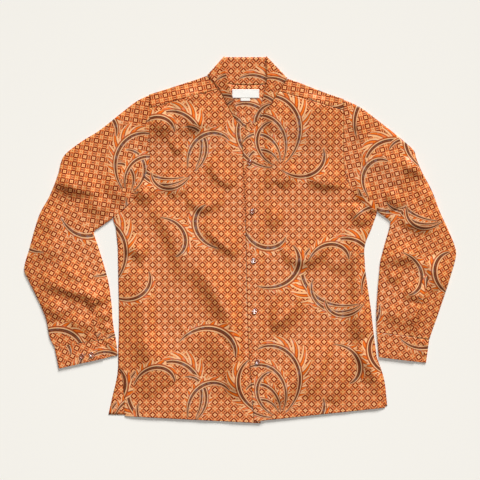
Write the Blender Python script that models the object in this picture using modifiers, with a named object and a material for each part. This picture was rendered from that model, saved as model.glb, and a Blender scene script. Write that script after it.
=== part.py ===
"""Long-sleeve shirt, buttoned and laid flat on its back, as the pieces that a shirtmaker cuts and sews.

Blender 4.5, metres, +Z up. The shirt rests on z = 0 with its front up, its collar towards +Y and its
hem towards -Y. "right" and "left" are the wearer's, so the right front lies at -X. Every cloth piece is a
loft through rows that are worked out from the short tables below, with the wall given by Solidify.
"""

import math

import bmesh
import bpy

MM = 0.001

# Cloth and seams, in millimetres.
WALL = 1.0
SEAM_GAP = 0.3
LOW_MID = WALL / 2
LAYER = WALL + SEAM_GAP
TOP_MID = LOW_MID + LAYER

# How the upper layer lies: it is pinched at the side folds and loose between them.
LOOSE_RISE = 1.3
EDGE_FADE = 20.0
OVERLAP_RISE = 2.0
OVERLAP_FADE = 13.0
CENTRE_CALM = 34.0
SHOULDER_FOLD_RISE = 0.9
COLLAR_FOLD_RISE = 2.6
COLLAR_LIFT = 5.5
NECK_CORNER_GAP = 1.6
SLEEVE_EDGE = 3.4
SLEEVE_PUFF = 3.2
CUFF_PINCH = 0.86
FOLD_STEPS = 4

# Counts of rows and columns in the lofts.
BODY_ROWS = 20
FRONT_COLUMNS = 14
BACK_COLUMNS = 10
SLEEVE_STATIONS = 22
STRIP_ROWS = 2
COLLAR_ROWS = 3

# Share of the armhole seam at which each row of the fronts, the back and the sleeves meets it, from the
# shoulder down to the armpit. The yoke reaches down to row YOKE_FRONT_ROW in front, YOKE_BACK_ROW behind.
ARMHOLE_SHARES = (0.0, 0.10, 0.17, 0.24, 0.31, 0.39, 0.47, 0.55, 0.63, 0.71, 0.79, 0.86, 0.93, 1.0)
YOKE_FRONT_ROW = 1
YOKE_BACK_ROW = 4

# Armhole seams, x and y, from the shoulder fold to the armpit.
ARMHOLE_RIGHT = (
    (-190.5, 304.0), (-189.6, 275.0), (-189.2, 241.0), (-189.4, 188.6), (-191.5, 159.2),
    (-197.2, 142.4), (-209.0, 108.0), (-227.2, 81.0), (-248.2, 63.0), (-266.0, 46.8),
)
ARMHOLE_LEFT = (
    (217.1, 294.6), (217.1, 260.0), (217.1, 188.6), (218.4, 157.0), (223.0, 138.0),
    (235.4, 103.0), (252.0, 83.0), (272.0, 69.0), (287.3, 60.5),
)

# Neck seams, x and y, from the shoulder fold down to the top of each front. The third point meets the
# yoke's front seam, and the next four meet the top rows of the front.
NECK_RIGHT = (
    (-67.6, 344.0), (-57.0, 331.4), (-44.5, 316.7), (-33.0, 295.5), (-21.5, 271.0), (-9.0, 250.5),
    (4.0, 237.0),
)
NECK_LEFT = (
    (98.3, 337.7), (91.0, 324.5), (82.5, 311.4), (70.0, 292.0), (57.0, 272.0), (39.0, 252.0),
    (12.5, 230.5),
)
NECK_YOKE_POINT = 2

# Collar's free edge, x and y, one point for each point of the neck seam above.
COLLAR_EDGE_RIGHT = (
    (-31.9, 383.9), (-31.0, 365.0), (-28.0, 342.0), (-21.5, 318.0), (-14.5, 296.0), (-6.5, 272.0),
    (7.5, 246.0),
)
COLLAR_EDGE_LEFT = (
    (54.2, 383.9), (56.0, 366.0), (57.0, 344.0), (54.0, 322.0), (49.0, 300.0), (39.5, 274.0),
    (12.5, 243.5),
)
# Back neck seam between the two shoulder points, x and y.
BACK_NECK = (
    (-67.6, 344.0), (-46.0, 333.0), (-18.0, 326.5), (14.0, 324.6), (46.0, 326.0), (76.0, 330.5),
    (98.3, 337.7),
)

# Shoulder folds from the armhole to the neck, x and y.
SHOULDER_RIGHT = ((-190.5, 304.0), (-158.0, 314.0), (-124.0, 325.0), (-94.0, 334.5), (-67.6, 344.0))
SHOULDER_LEFT = ((217.1, 294.6), (190.0, 303.5), (158.0, 315.5), (128.0, 327.5), (98.3, 337.7))

# Side folds, x and y, from the armpit down to the front hem and to the back hem.
SIDE_RIGHT = (
    (-266.0, 46.8), (-261.0, 25.6), (-256.6, -13.0), (-255.4, -84.0), (-254.2, -145.0), (-254.2, -194.0),
    (-255.8, -237.0), (-255.8, -262.0), (-247.0, -290.0), (-243.6, -330.0), (-242.0, -370.0),
)
SIDE_LEFT = (
    (287.3, 60.5), (282.0, 41.0), (274.0, 19.0), (260.5, -11.5), (262.8, -61.0), (268.8, -104.0),
    (275.0, -145.0), (280.5, -194.0), (287.0, -245.0), (294.5, -270.0), (301.0, -300.0), (305.0, -352.0),
)
BACK_SIDE_RIGHT = SIDE_RIGHT[:8] + ((-258.0, -288.0), (-267.0, -325.0), (-276.4, -366.5))
BACK_SIDE_LEFT = SIDE_LEFT[:9] + ((296.0, -270.0), (304.0, -296.0), (309.3, -348.5))
BACK_HEM_DIP = -8.0

# Front edges, x and y: the left front laps over the right front.
LAP_EDGE = (
    (12.5, 230.5), (5.0, 214.0), (6.3, 167.6), (8.8, 115.0), (11.1, 60.5), (13.2, -42.4), (15.3, -149.5),
    (17.4, -200.0), (20.6, -256.6), (24.8, -315.0), (29.0, -381.0),
)
UNDER_EDGE = (
    (4.0, 237.0), (30.0, 214.0), (33.0, 167.6), (36.0, 115.0), (38.0, 60.5), (39.0, -42.4), (40.0, -149.5),
    (41.0, -200.0), (42.0, -256.6), (43.0, -315.0), (43.0, -384.5),
)
FRONT_NECK_ROWS = 5
LAP_COLUMNS = (0.0, 15.0, 31.0, 45.0)

# Sleeves, from the armhole to the cuff seam: the outer fold's x and y, then the underarm fold's.
SLEEVE_RIGHT = (
    (-190.5, 304.0, -266.0, 46.8), (-217.8, 290.6, -268.8, 44.4), (-250.3, 265.7, -275.0, 39.8),
    (-294.4, 230.6, -284.0, 33.5), (-332.9, 206.6, -294.0, 26.5), (-365.2, 181.7, -304.0, 20.0),
    (-376.0, 163.0, -306.5, 14.0), (-382.0, 138.0, -304.0, 5.0), (-400.0, 92.0, -299.5, -8.0),
    (-419.0, 58.0, -294.5, -24.0), (-430.0, 26.0, -290.0, -38.0), (-441.0, -14.0, -284.0, -58.0),
    (-453.0, -60.0, -278.0, -80.0), (-443.0, -87.0, -274.0, -100.0), (-430.9, -112.0, -271.5, -119.0),
    (-415.4, -145.0, -268.6, -143.0), (-406.5, -170.0, -267.6, -164.0), (-400.0, -203.0, -264.5, -188.0),
    (-389.5, -225.0, -261.0, -204.4),
)
SLEEVE_LEFT = (
    (217.1, 294.6, 287.3, 60.5), (242.1, 284.0, 290.6, 58.0), (262.0, 272.0, 295.0, 54.6),
    (299.0, 243.6, 301.5, 50.0), (332.6, 216.9, 308.5, 45.0), (363.5, 189.5, 315.0, 39.0),
    (370.0, 172.0, 314.6, 31.0), (381.0, 145.0, 312.5, 21.0), (402.8, 103.1, 308.0, 6.0),
    (419.6, 59.4, 303.5, -9.0), (436.4, 22.7, 299.0, -26.0), (450.5, -12.0, 294.4, -45.0),
    (453.0, -36.0, 292.6, -64.0), (439.7, -84.0, 289.8, -94.0), (430.0, -114.0, 288.2, -116.0),
    (415.4, -157.0, 286.2, -148.0), (405.0, -186.0, 286.2, -172.0), (397.4, -208.0, 287.0, -193.6),
)
CAP_SHARE = 0.4
CAP_END = 0.045

# Cuffs: outer and inner corner of the free edge. The seam corners are the sleeve's last row.
CUFF_RIGHT = ((-380.5, -270.0), (-256.6, -242.0))
CUFF_LEFT = ((390.5, -258.0), (291.4, -246.0))
CUFF_END_SHARE = 0.76
CUFF_LAP = 24.0
CUFF_ROWS = 2
CUFF_COLUMNS = 7

# Sleeve plackets: the grid column that each lies on, counted from the outer fold, and its first station.
PLACKET_RIGHT = (9, 18)
PLACKET_LEFT = (4, 16)
PLACKET_LIFT = 1.3

# Largest folds of the upper layer: the ridge's two ends, its bow sideways, height and half width.
BODY_FOLDS = (
    # x0, y0, x1, y1, bow, height, half width
    (-236.0, 62.0, -70.0, -118.0, 16.0, 5.6, 13.0),
    (-215.0, 96.0, -18.0, -52.0, 24.0, 4.8, 12.0),
    (-246.0, 20.0, -128.0, -236.0, 14.0, 4.6, 15.0),
    (-196.0, 132.0, -70.0, 62.0, 12.0, 4.2, 12.0),
    (-104.0, 84.0, -14.0, 84.0, -16.0, 3.6, 12.0),
    (-108.0, -128.0, 12.0, -330.0, 18.0, 5.2, 15.0),
    (-188.0, -190.0, -120.0, -352.0, 10.0, 3.4, 14.0),
    (-176.0, 262.0, -60.0, 150.0, 14.0, 3.4, 14.0),
    (246.0, 92.0, 108.0, 98.0, -8.0, 4.6, 10.0),
    (262.0, 62.0, 150.0, -52.0, -14.0, 5.2, 13.0),
    (150.0, -92.0, 52.0, -196.0, -20.0, 5.4, 13.0),
    (206.0, -6.0, 104.0, -64.0, -14.0, 4.2, 12.0),
    (250.0, -60.0, 176.0, -280.0, -10.0, 3.8, 15.0),
    (96.0, 134.0, 34.0, 150.0, -14.0, 3.8, 11.0),
    (150.0, -232.0, 66.0, -364.0, -12.0, 4.4, 13.0),
    (212.0, -250.0, 176.0, -352.0, -6.0, 3.6, 12.0),
    (198.0, 236.0, 100.0, 196.0, 10.0, 3.2, 14.0),
)
SLEEVE_FOLDS_RIGHT = (
    (-370.0, 174.0, -304.0, 18.0, -6.0, 4.6, 10.0),
    (-386.0, 122.0, -318.0, 66.0, 8.0, 3.8, 10.0),
    (-300.0, 196.0, -222.0, 100.0, 8.0, 3.0, 14.0),
    (-440.0, -30.0, -306.0, -50.0, 10.0, 3.6, 13.0),
    (-436.0, -84.0, -330.0, -136.0, -8.0, 3.8, 12.0),
    (-404.0, -150.0, -300.0, -170.0, 8.0, 3.4, 12.0),
    (-282.0, -140.0, -278.0, -206.0, 4.0, 3.4, 8.0),
)
SLEEVE_FOLDS_LEFT = (
    (366.0, 180.0, 312.0, 36.0, 6.0, 4.8, 10.0),
    (372.0, 168.0, 270.0, 132.0, -8.0, 4.2, 11.0),
    (296.0, 214.0, 236.0, 110.0, -8.0, 3.2, 14.0),
    (412.0, 70.0, 330.0, 10.0, -8.0, 3.4, 13.0),
    (446.0, -24.0, 330.0, -74.0, -10.0, 4.0, 14.0),
    (430.0, -104.0, 322.0, -106.0, 10.0, 3.6, 13.0),
    (352.0, -126.0, 351.0, -206.0, 3.0, 3.6, 8.0),
)

# Buttons: x and y of each centre, down the lap and on the right cuff.
BUTTON_RADIUS = 5.6
BUTTON_HEIGHT = 2.2
BUTTON_HOLE_RADIUS = 0.8
BUTTON_HOLE_PITCH = 1.5
FRONT_BUTTONS = ((20.5, 163.4), (26.0, 60.5), (28.0, -43.5), (30.5, -149.5), (36.5, -255.6))
CUFF_BUTTONS = ((-332.0, -243.6), (-311.0, -240.0))

# Label inside the back neck and the size tab below it: centre x and y, width and height.
LABEL = (11.8, 307.0, 57.0, 18.4)
SIZE_TAB = (11.0, 294.6, 20.0, 5.6)

CLOTH_COLOUR = (0.597, 0.212, 0.081, 1.0)
INSIDE_COLOUR = (0.560, 0.190, 0.072, 1.0)
BUTTON_COLOUR = (0.120, 0.045, 0.020, 1.0)
LABEL_COLOUR = (0.860, 0.850, 0.800, 1.0)


def clear_scene():
    for obj in list(bpy.data.objects):
        bpy.data.objects.remove(obj)


def new_collection(name):
    made = bpy.data.collections.new(name)
    bpy.context.scene.collection.children.link(made)
    return made


def finish_of(name, colour, roughness):
    material = bpy.data.materials.new(name)
    material.use_nodes = True
    shader = material.node_tree.nodes["Principled BSDF"]
    shader.inputs["Base Color"].default_value = colour
    shader.inputs["Roughness"].default_value = roughness
    shader.inputs["Metallic"].default_value = 0.0
    return material


def ease(t):
    """0 below 0, 1 above 1, smooth between."""
    t = max(0.0, min(1.0, t))
    return t * t * (3.0 - 2.0 * t)


def mix(a, b, t):
    return tuple(p + (q - p) * t for p, q in zip(a, b))


def along(table, share):
    """The point at a share of the length of the smooth curve through the table's rows."""
    lengths = [0.0]
    for a, b in zip(table, table[1:]):
        lengths.append(lengths[-1] + math.dist(a, b))
    target = max(0.0, min(1.0, share)) * lengths[-1]
    i = 0
    while i < len(table) - 2 and lengths[i + 1] < target:
        i += 1
    t = (target - lengths[i]) / (lengths[i + 1] - lengths[i])
    before = table[max(0, i - 1)]
    after = table[min(len(table) - 1, i + 2)]
    a, b = table[i], table[i + 1]
    return tuple(
        0.5 * (2 * q + (r - p) * t + (2 * p - 5 * q + 4 * r - s) * t * t + (3 * q - p - 3 * r + s) * t ** 3)
        for p, q, r, s in zip(before, a, b, after)
    )


def x_on(table, y):
    """x of a line that runs down the shirt, at height y, held at its ends."""
    rows = sorted(table, key=lambda p: p[1])
    if y <= rows[0][1]:
        return rows[0][0]
    for (xa, ya), (xb, yb) in zip(rows, rows[1:]):
        if y <= yb:
            return xa + (xb - xa) * (y - ya) / (yb - ya)
    return rows[-1][0]


def point_at(table, y):
    return (x_on(table, y), y)


def fold_height(folds, x, y):
    """Height that the ridges add at a point of the upper layer."""
    total = 0.0
    for x0, y0, x1, y1, bow, height, half_width in folds:
        length = math.hypot(x1 - x0, y1 - y0)
        ux, uy = (x1 - x0) / length, (y1 - y0) / length
        t = ((x - x0) * ux + (y - y0) * uy) / length
        if not 0.0 < t < 1.0:
            continue
        aside = (y - y0) * ux - (x - x0) * uy - bow * 4.0 * t * (1.0 - t)
        total += height * math.sin(math.pi * t) ** 0.8 * math.exp(-((aside / half_width) ** 2))
    return total


def shoulder_y(x):
    line = SHOULDER_RIGHT[::-1] if x < 15.0 else SHOULDER_LEFT[::-1]
    rows = sorted(line)
    for (xa, ya), (xb, yb) in zip(rows, rows[1:]):
        if x <= xb:
            return ya + (yb - ya) * max(0.0, (x - xa) / (xb - xa))
    return rows[-1][1]


def body_mid(x, y):
    """Middle of the wall of the upper layer on the body, in height."""
    fade = ease((shoulder_y(x) - y) / EDGE_FADE)
    if y < SIDE_RIGHT[0][1]:
        fade *= ease((x - x_on(SIDE_RIGHT, y)) / EDGE_FADE)
    if y < SIDE_LEFT[0][1]:
        fade *= ease((x_on(SIDE_LEFT, y) - x) / EDGE_FADE)
    lap = x_on(LAP_EDGE[1:], y) + LAP_COLUMNS[1]
    calm = ease((abs(x - lap) - CENTRE_CALM) / CENTRE_CALM)
    return TOP_MID + fade * (LOOSE_RISE + calm * fold_height(BODY_FOLDS, x, y))


def lap_mid(x, y):
    """The same for the left front, which climbs over the right front's edge."""
    climb = ease((x_on(UNDER_EDGE[1:], y) + 2.0 + OVERLAP_FADE - x) / OVERLAP_FADE)
    return body_mid(x, y) + climb * OVERLAP_RISE


def loft(name, grids, collection, material, offset=0.0, closed=False, rebuild=False):
    """A cloth wall from one or more grids of points in millimetres; grids that share a line are joined."""
    shell = bmesh.new()
    for grid in grids:
        rows = [[shell.verts.new((x * MM, y * MM, z * MM)) for x, y, z in row] for row in grid]
        count = len(rows[0])
        for upper, lower in zip(rows, rows[1:]):
            for j in range(count if closed else count - 1):
                k = (j + 1) % count
                shell.faces.new((upper[j], lower[j], lower[k], upper[k]))
    if len(grids) > 1:
        bmesh.ops.remove_doubles(shell, verts=shell.verts, dist=0.02 * MM)
        bmesh.ops.recalc_face_normals(shell, faces=shell.faces)
    mesh = bpy.data.meshes.new(name)
    shell.to_mesh(mesh)
    shell.free()
    mesh.shade_smooth()
    mesh.materials.append(material)
    obj = bpy.data.objects.new(name, mesh)
    collection.objects.link(obj)
    wall = obj.modifiers.new("wall", "SOLIDIFY")
    wall.thickness = WALL * MM
    wall.offset = offset
    return obj


def nudged(point, towards, distance):
    """A point in plan, moved towards another by a distance."""
    length = math.dist(point, towards)
    return mix(point, towards, distance / length) if length else point


def front_rows(side, armhole, inner, neck):
    """Pairs of outer and inner plan points of a front's rows, from the yoke seam to the hem."""
    rows = []
    upper_rows = len(ARMHOLE_SHARES) - 1
    edge_top = inner[1][1]
    armpit_y = side[0][1]
    for k in range(YOKE_FRONT_ROW, upper_rows + 1):
        outer_point = along(armhole, ARMHOLE_SHARES[k])
        if k <= FRONT_NECK_ROWS:
            inner_point = neck[NECK_YOKE_POINT + k - YOKE_FRONT_ROW]
        else:
            t = (k - FRONT_NECK_ROWS - 1) / (upper_rows - FRONT_NECK_ROWS - 1)
            inner_point = point_at(inner, edge_top + (armpit_y - edge_top) * t)
        rows.append((outer_point, inner_point))
    for i in range(1, BODY_ROWS + 1):
        t = i / BODY_ROWS
        outer_y = armpit_y + (side[-1][1] - armpit_y) * t
        inner_y = armpit_y + (inner[-1][1] - armpit_y) * t
        rows.append((point_at(side, outer_y), point_at(inner, inner_y)))
    return rows


def front_grid(rows, height, lap_columns):
    """The grid of a front: columns at set distances from the inner edge, then even ones to the outer."""
    grid = []
    for i, (outer, inner) in enumerate(rows):
        width = math.dist(outer, inner)
        start, end = nudged(inner, outer, SEAM_GAP / 2), nudged(outer, inner, SEAM_GAP / 2)
        shares = [d / width for d in lap_columns]
        rest = FRONT_COLUMNS - len(lap_columns)
        shares += [shares[-1] + (1.0 - shares[-1]) * (j + 1) / rest for j in range(rest)]
        row = []
        for share in shares:
            x, y = mix(start, end, share)
            if i == 0:
                y -= SEAM_GAP
            row.append((x, y, height(x, y)))
        grid.append(row)
    return grid


def build_fronts(collection, cloth):
    right = front_rows(SIDE_RIGHT, ARMHOLE_RIGHT, UNDER_EDGE, NECK_RIGHT)
    left = front_rows(SIDE_LEFT, ARMHOLE_LEFT, LAP_EDGE, NECK_LEFT)
    loft("front_right", [front_grid(right, body_mid, LAP_COLUMNS[:2])], collection, cloth)
    loft("front_left", [front_grid(left, lap_mid, LAP_COLUMNS)], collection, cloth)


def armhole_pair(k):
    """The armhole points at row k on both sides, just inside the seam."""
    right = along(ARMHOLE_RIGHT, ARMHOLE_SHARES[k])
    left = along(ARMHOLE_LEFT, ARMHOLE_SHARES[k])
    return nudged(right, left, SEAM_GAP / 2), nudged(left, right, SEAM_GAP / 2)


def build_back(collection, cloth):
    pairs = [armhole_pair(k) for k in range(YOKE_BACK_ROW, len(ARMHOLE_SHARES))]
    right_top, left_top = SIDE_RIGHT[0][1], SIDE_LEFT[0][1]
    for i in range(1, BODY_ROWS + 1):
        t = i / BODY_ROWS
        right_y = right_top + (BACK_SIDE_RIGHT[-1][1] - right_top) * t
        left_y = left_top + (BACK_SIDE_LEFT[-1][1] - left_top) * t
        pairs.append((point_at(BACK_SIDE_RIGHT, right_y), point_at(BACK_SIDE_LEFT, left_y)))
    grid = []
    for i, (right, left) in enumerate(pairs):
        dip = BACK_HEM_DIP * (i / (len(pairs) - 1)) ** 6
        row = []
        for j in range(BACK_COLUMNS + 1):
            t = j / BACK_COLUMNS
            x, y = mix(right, left, t)
            row.append((x, y + dip * math.sin(math.pi * t) - (SEAM_GAP if i == 0 else 0.0), LOW_MID))
        grid.append(row)
    loft("back", [grid], collection, cloth)


def fold_arc(point, outward, low, high):
    """Points of the half circle that turns cloth over from height low to high at a fold."""
    radius = (high - low) / 2
    for i in range(1, FOLD_STEPS):
        angle = math.pi * i / FOLD_STEPS
        reach = radius * math.sin(angle)
        yield (
            point[0] + outward[0] * reach, point[1] + outward[1] * reach,
            low + radius * (1.0 - math.cos(angle)),
        )


def outward_of(line, i, side):
    """Unit normal in plan of a line of points at point i, to the left of its direction for side 1."""
    a, b = line[max(0, i - 1)], line[min(len(line) - 1, i + 1)]
    length = math.dist(a, b)
    return (-(b[1] - a[1]) / length * side, (b[0] - a[0]) / length * side)


def build_yoke(collection, cloth):
    """Back yoke on the table, and its two strips that fold forward over the shoulders."""
    low, high = LOW_MID, TOP_MID + SHOULDER_FOLD_RISE
    upper = list(SHOULDER_RIGHT) + list(BACK_NECK[1:-1]) + list(SHOULDER_LEFT[::-1])
    upper[0], upper[-1] = armhole_pair(0)
    for corner, before in ((len(SHOULDER_RIGHT) - 1, -1), (-len(SHOULDER_LEFT), 1)):
        upper[corner] = nudged(upper[corner], upper[corner + before], NECK_CORNER_GAP)
    pairs = [armhole_pair(k) for k in range(YOKE_BACK_ROW, -1, -1)]
    lower_right, lower_left = pairs[0]
    span = upper[-1][0] - upper[0][0]
    flat = []
    for i, (right, left) in enumerate(pairs):
        t = i / YOKE_BACK_ROW
        row = []
        for j, top in enumerate(upper):
            base = mix(lower_right, lower_left, (top[0] - upper[0][0]) / span)
            x, y = mix(base, top, t)
            if j in (0, len(upper) - 1):
                x, y = right if j == 0 else left
            row.append((x, y, low))
        flat.append(row)
    grids = [flat]
    sides = (
        (upper[: len(SHOULDER_RIGHT)], ARMHOLE_RIGHT, NECK_RIGHT, 1),
        (upper[-len(SHOULDER_LEFT):][::-1], ARMHOLE_LEFT, NECK_LEFT, -1),
    )
    for shoulder, armhole, neck, side in sides:
        count = len(shoulder)
        seam_start = nudged(along(armhole, ARMHOLE_SHARES[YOKE_FRONT_ROW]), neck[NECK_YOKE_POINT], SEAM_GAP)
        seam_end = nudged(neck[NECK_YOKE_POINT], seam_start, SEAM_GAP)
        strip = []
        for i, point in enumerate(shoulder):
            outward = outward_of(shoulder, i, side)
            front = mix(seam_start, seam_end, i / (count - 1))
            row = [(point[0], point[1], low), *fold_arc(point, outward, low, high), (*point, high)]
            for n in range(1, STRIP_ROWS + 1):
                t = n / STRIP_ROWS
                x, y = mix(point, front, t)
                if i == count - 1 and n < STRIP_ROWS:
                    x, y = nudged(neck[n], front, SEAM_GAP)
                row.append((x, y, high + (body_mid(*front) - high) * ease(t)))
            strip.append(row)
        grids.append(strip)
    loft("yoke", grids, collection, cloth)


def collar_wing(neck, edge):
    """Rows of the part of the collar that lies on top, from its front end to its fold."""
    rows = []
    for i in range(len(neck) - 1, -1, -1):
        foot = nudged(neck[i], edge[i], SEAM_GAP * 1.5)
        lift = ease((i + 1) / len(neck))
        row = []
        for n in range(COLLAR_ROWS + 1):
            t = n / COLLAR_ROWS
            x, y = mix(foot, edge[i], t)
            free = COLLAR_LIFT * math.sin(math.pi * i / (len(neck) - 1)) * t
            base = TOP_MID + COLLAR_FOLD_RISE * (1.0 - 0.55 * lift)
            row.append((x, y, base + free))
        rows.append(row)
    return rows


def build_collar(collection, cloth):
    """One band: right wing, fold, back of the collar on the table, fold, left wing."""
    right = collar_wing(NECK_RIGHT, COLLAR_EDGE_RIGHT)
    left = collar_wing(NECK_LEFT, COLLAR_EDGE_LEFT)
    band = list(right)
    for fold_row, forward in ((right[-1], True), (left[-1], False)):
        line = [fold_row[0][:2], fold_row[-1][:2]]
        outward = outward_of(line, 0, 1 if forward else -1)
        arcs = [list(fold_arc(p[:2], outward, LOW_MID, p[2])) for p in fold_row]
        turned = [[arc[m] for arc in arcs] for m in range(FOLD_STEPS - 1)]
        if forward:
            band += turned[::-1]
            band += back_of_collar()
        else:
            band += turned
    band += left[::-1]
    loft("collar", [band], collection, cloth)


def back_of_collar():
    """Rows of the collar's back, which lies on the table behind the neck seam."""
    rows = []
    start, end = COLLAR_EDGE_RIGHT[0], COLLAR_EDGE_LEFT[0]
    for i, seam in enumerate(BACK_NECK):
        edge = mix(start, end, i / (len(BACK_NECK) - 1))
        foot = nudged(seam, edge, SEAM_GAP * 1.5)
        row = []
        for n in range(COLLAR_ROWS + 1):
            x, y = mix(foot, edge, n / COLLAR_ROWS)
            row.append((x, y, LOW_MID))
        rows.append(row)
    return rows


def sleeve_top(folds, share, station, x, y, seam_height):
    """Height of the sleeve's upper face: that of the body at the armhole, then its own."""
    loose = 1.0 - ease((station - CUFF_PINCH) / (1.0 - CUFF_PINCH))
    own = SLEEVE_EDGE + loose * SLEEVE_PUFF * math.sin(math.pi * share) ** 0.6
    own += loose * fold_height(folds, x, y) * math.sin(math.pi * share) ** 0.4
    at_seam = 1.0 - ease(station / 0.12)
    return own + (max(SLEEVE_EDGE, seam_height) - own) * at_seam * math.sin(math.pi * share) ** 0.4


def sleeve_plan(table, armhole, station):
    """Plan points across the sleeve at a station: the armhole seam's shape fades into straight lines."""
    row = along(table, station)
    chord = (along(armhole, 0.0), along(armhole, 1.0))
    plan = []
    for share in ARMHOLE_SHARES:
        cap = 1.0 - ease(station / (CAP_END + CAP_SHARE * (1.0 - share)))
        x, y = mix(row[:2], row[2:], share)
        seam = along(armhole, share)
        level = mix(*chord, share)
        plan.append((x + cap * (seam[0] - level[0]), y + cap * (seam[1] - level[1])))
    return plan


def sleeve_grid(table, armhole, folds, side):
    """Closed rings round the flattened sleeve, from the armhole to the cuff seam."""
    radius = SLEEVE_EDGE / 2
    plans = [sleeve_plan(table, armhole, i / SLEEVE_STATIONS) for i in range(SLEEVE_STATIONS + 1)]
    seam_normals = [outward_of(plans[0], j, side) for j in range(len(plans[0]))]
    plans[0] = [
        (x + nx * SEAM_GAP, y + ny * SEAM_GAP) for (x, y), (nx, ny) in zip(plans[0], seam_normals)
    ]
    seam_length = math.dist(plans[0][0], plans[0][1])
    seam_end_direction = tuple((a - b) / seam_length for a, b in zip(plans[0][0], plans[0][1]))
    outer_line = [plan[0] for plan in plans]
    inner_line = [plan[-1] for plan in plans]
    rings = []
    for i, plan in enumerate(plans):
        station = i / SLEEVE_STATIONS
        away_out = outward_of(outer_line, i, side) if i else seam_end_direction
        away_in = outward_of(inner_line, i, -side)
        edge_out = (plan[0][0] - away_out[0] * radius, plan[0][1] - away_out[1] * radius)
        edge_in = (plan[-1][0] - away_in[0] * radius, plan[-1][1] - away_in[1] * radius)
        line = [edge_out, *plan[1:-1], edge_in]
        ring = [
            (x, y, sleeve_top(folds, share, station, x, y, body_mid(x, y) + LOW_MID))
            for (x, y), share in zip(line, ARMHOLE_SHARES)
        ]
        ring += reversed(list(fold_arc(edge_in, away_in, 0.0, SLEEVE_EDGE)))
        ring += [(x, y, 0.0) for x, y in reversed(line)]
        ring += list(fold_arc(edge_out, away_out, 0.0, SLEEVE_EDGE))
        rings.append(ring)
    return rings


def build_sleeves(collection, cloth):
    sides = (
        ("right", SLEEVE_RIGHT, ARMHOLE_RIGHT, SLEEVE_FOLDS_RIGHT, PLACKET_RIGHT),
        ("left", SLEEVE_LEFT, ARMHOLE_LEFT, SLEEVE_FOLDS_LEFT, PLACKET_LEFT),
    )
    for side, table, armhole, folds, placket in sides:
        rings = sleeve_grid(table, armhole, folds, -1 if side == "right" else 1)
        flip = rings if side == "right" else [ring[::-1] for ring in rings]
        loft("sleeve_" + side, [flip], collection, cloth, offset=-1.0, closed=True)
        column, first = placket
        strip = [
            [(x, y, z + PLACKET_LIFT) for x, y, z in ring[column: column + 2]]
            for ring in rings[first:]
        ]
        loft("placket_" + side, [strip], collection, cloth)


def cuff_path(outer, inner):
    """The cuff's wrap at one row: overlapping end, outer fold, under the wrist, inner fold, underlap."""
    width = math.dist(outer, inner)
    aside = tuple((o - n) / width for o, n in zip(outer, inner))
    low, mid, high = LOW_MID, LOW_MID + LAYER, LOW_MID + 2 * LAYER
    wide, tight = (high - low) / 2 + LOW_MID, (mid - low) / 2 + LOW_MID
    outer_turn, inner_turn = nudged(outer, inner, wide), nudged(inner, outer, tight)
    end = mix(outer, inner, CUFF_END_SHARE)
    under_end = nudged(end, outer, CUFF_LAP)
    path = [(*mix(end, outer_turn, j / CUFF_COLUMNS), high) for j in range(CUFF_COLUMNS + 1)]
    path += list(fold_arc(outer_turn, aside, low, high))[::-1]
    path += [(*mix(outer_turn, inner_turn, j / CUFF_COLUMNS), low) for j in range(CUFF_COLUMNS + 1)]
    path += list(fold_arc(inner_turn, (-aside[0], -aside[1]), low, mid))
    path += [(*mix(inner_turn, under_end, j / 4), mid) for j in range(5)]
    return path


def build_cuffs(collection, cloth):
    for name, table, free in (("cuff_right", SLEEVE_RIGHT, CUFF_RIGHT), ("cuff_left", SLEEVE_LEFT, CUFF_LEFT)):
        seam = table[-1][:2], table[-1][2:]
        seam_out, seam_in = (nudged(a, b, SEAM_GAP * 1.1) for a, b in zip(seam, free))
        outer, inner = (seam_out, free[0]), (seam_in, free[1])
        if name == "cuff_left":
            outer, inner = inner, outer
        grid = []
        for i in range(CUFF_ROWS + 1):
            t = i / CUFF_ROWS
            grid.append(cuff_path(mix(*outer, t), mix(*inner, t)))
        loft(name, [grid], collection, cloth)


def button_mesh(collection, horn):
    """A turned button with a raised rim and four sewing holes, its base on z = 0."""
    r, h = BUTTON_RADIUS, BUTTON_HEIGHT
    profile = ((0.0, 0.62 * h), (0.52 * r, 0.62 * h), (0.72 * r, h), (0.9 * r, 0.92 * h), (r, 0.5 * h),
               (0.78 * r, 0.0), (0.0, 0.0))
    outline = bpy.data.meshes.new("button_profile")
    outline.from_pydata(
        [(x * MM, 0.0, z * MM) for x, z in profile], [(i, i + 1) for i in range(len(profile) - 1)], []
    )
    turned = bpy.data.objects.new("button_turned", outline)
    collection.objects.link(turned)
    screw = turned.modifiers.new("turn", "SCREW")
    screw.steps = screw.render_steps = 16
    screw.use_merge_vertices = True
    screw.merge_threshold = 0.00001
    drill = bmesh.new()
    for i in range(4):
        angle = math.pi / 4 + i * math.pi / 2
        made = bmesh.ops.create_cone(
            drill, cap_ends=True, segments=6, radius1=BUTTON_HOLE_RADIUS * MM,
            radius2=BUTTON_HOLE_RADIUS * MM, depth=4 * h * MM,
        )
        move = (BUTTON_HOLE_PITCH * math.cos(angle) * MM, BUTTON_HOLE_PITCH * math.sin(angle) * MM, 0.0)
        bmesh.ops.translate(drill, verts=made["verts"], vec=move)
    cutter_mesh = bpy.data.meshes.new("button_drill")
    drill.to_mesh(cutter_mesh)
    drill.free()
    cutter = bpy.data.objects.new("button_drill", cutter_mesh)
    collection.objects.link(cutter)
    cut = turned.modifiers.new("holes", "BOOLEAN")
    cut.operation = "DIFFERENCE"
    cut.object = cutter
    graph = bpy.context.evaluated_depsgraph_get()
    mesh = bpy.data.meshes.new_from_object(turned.evaluated_get(graph))
    mesh.name = "button"
    mesh.materials.clear()
    mesh.materials.append(horn)
    bpy.data.objects.remove(turned)
    bpy.data.objects.remove(cutter)
    return mesh


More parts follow.
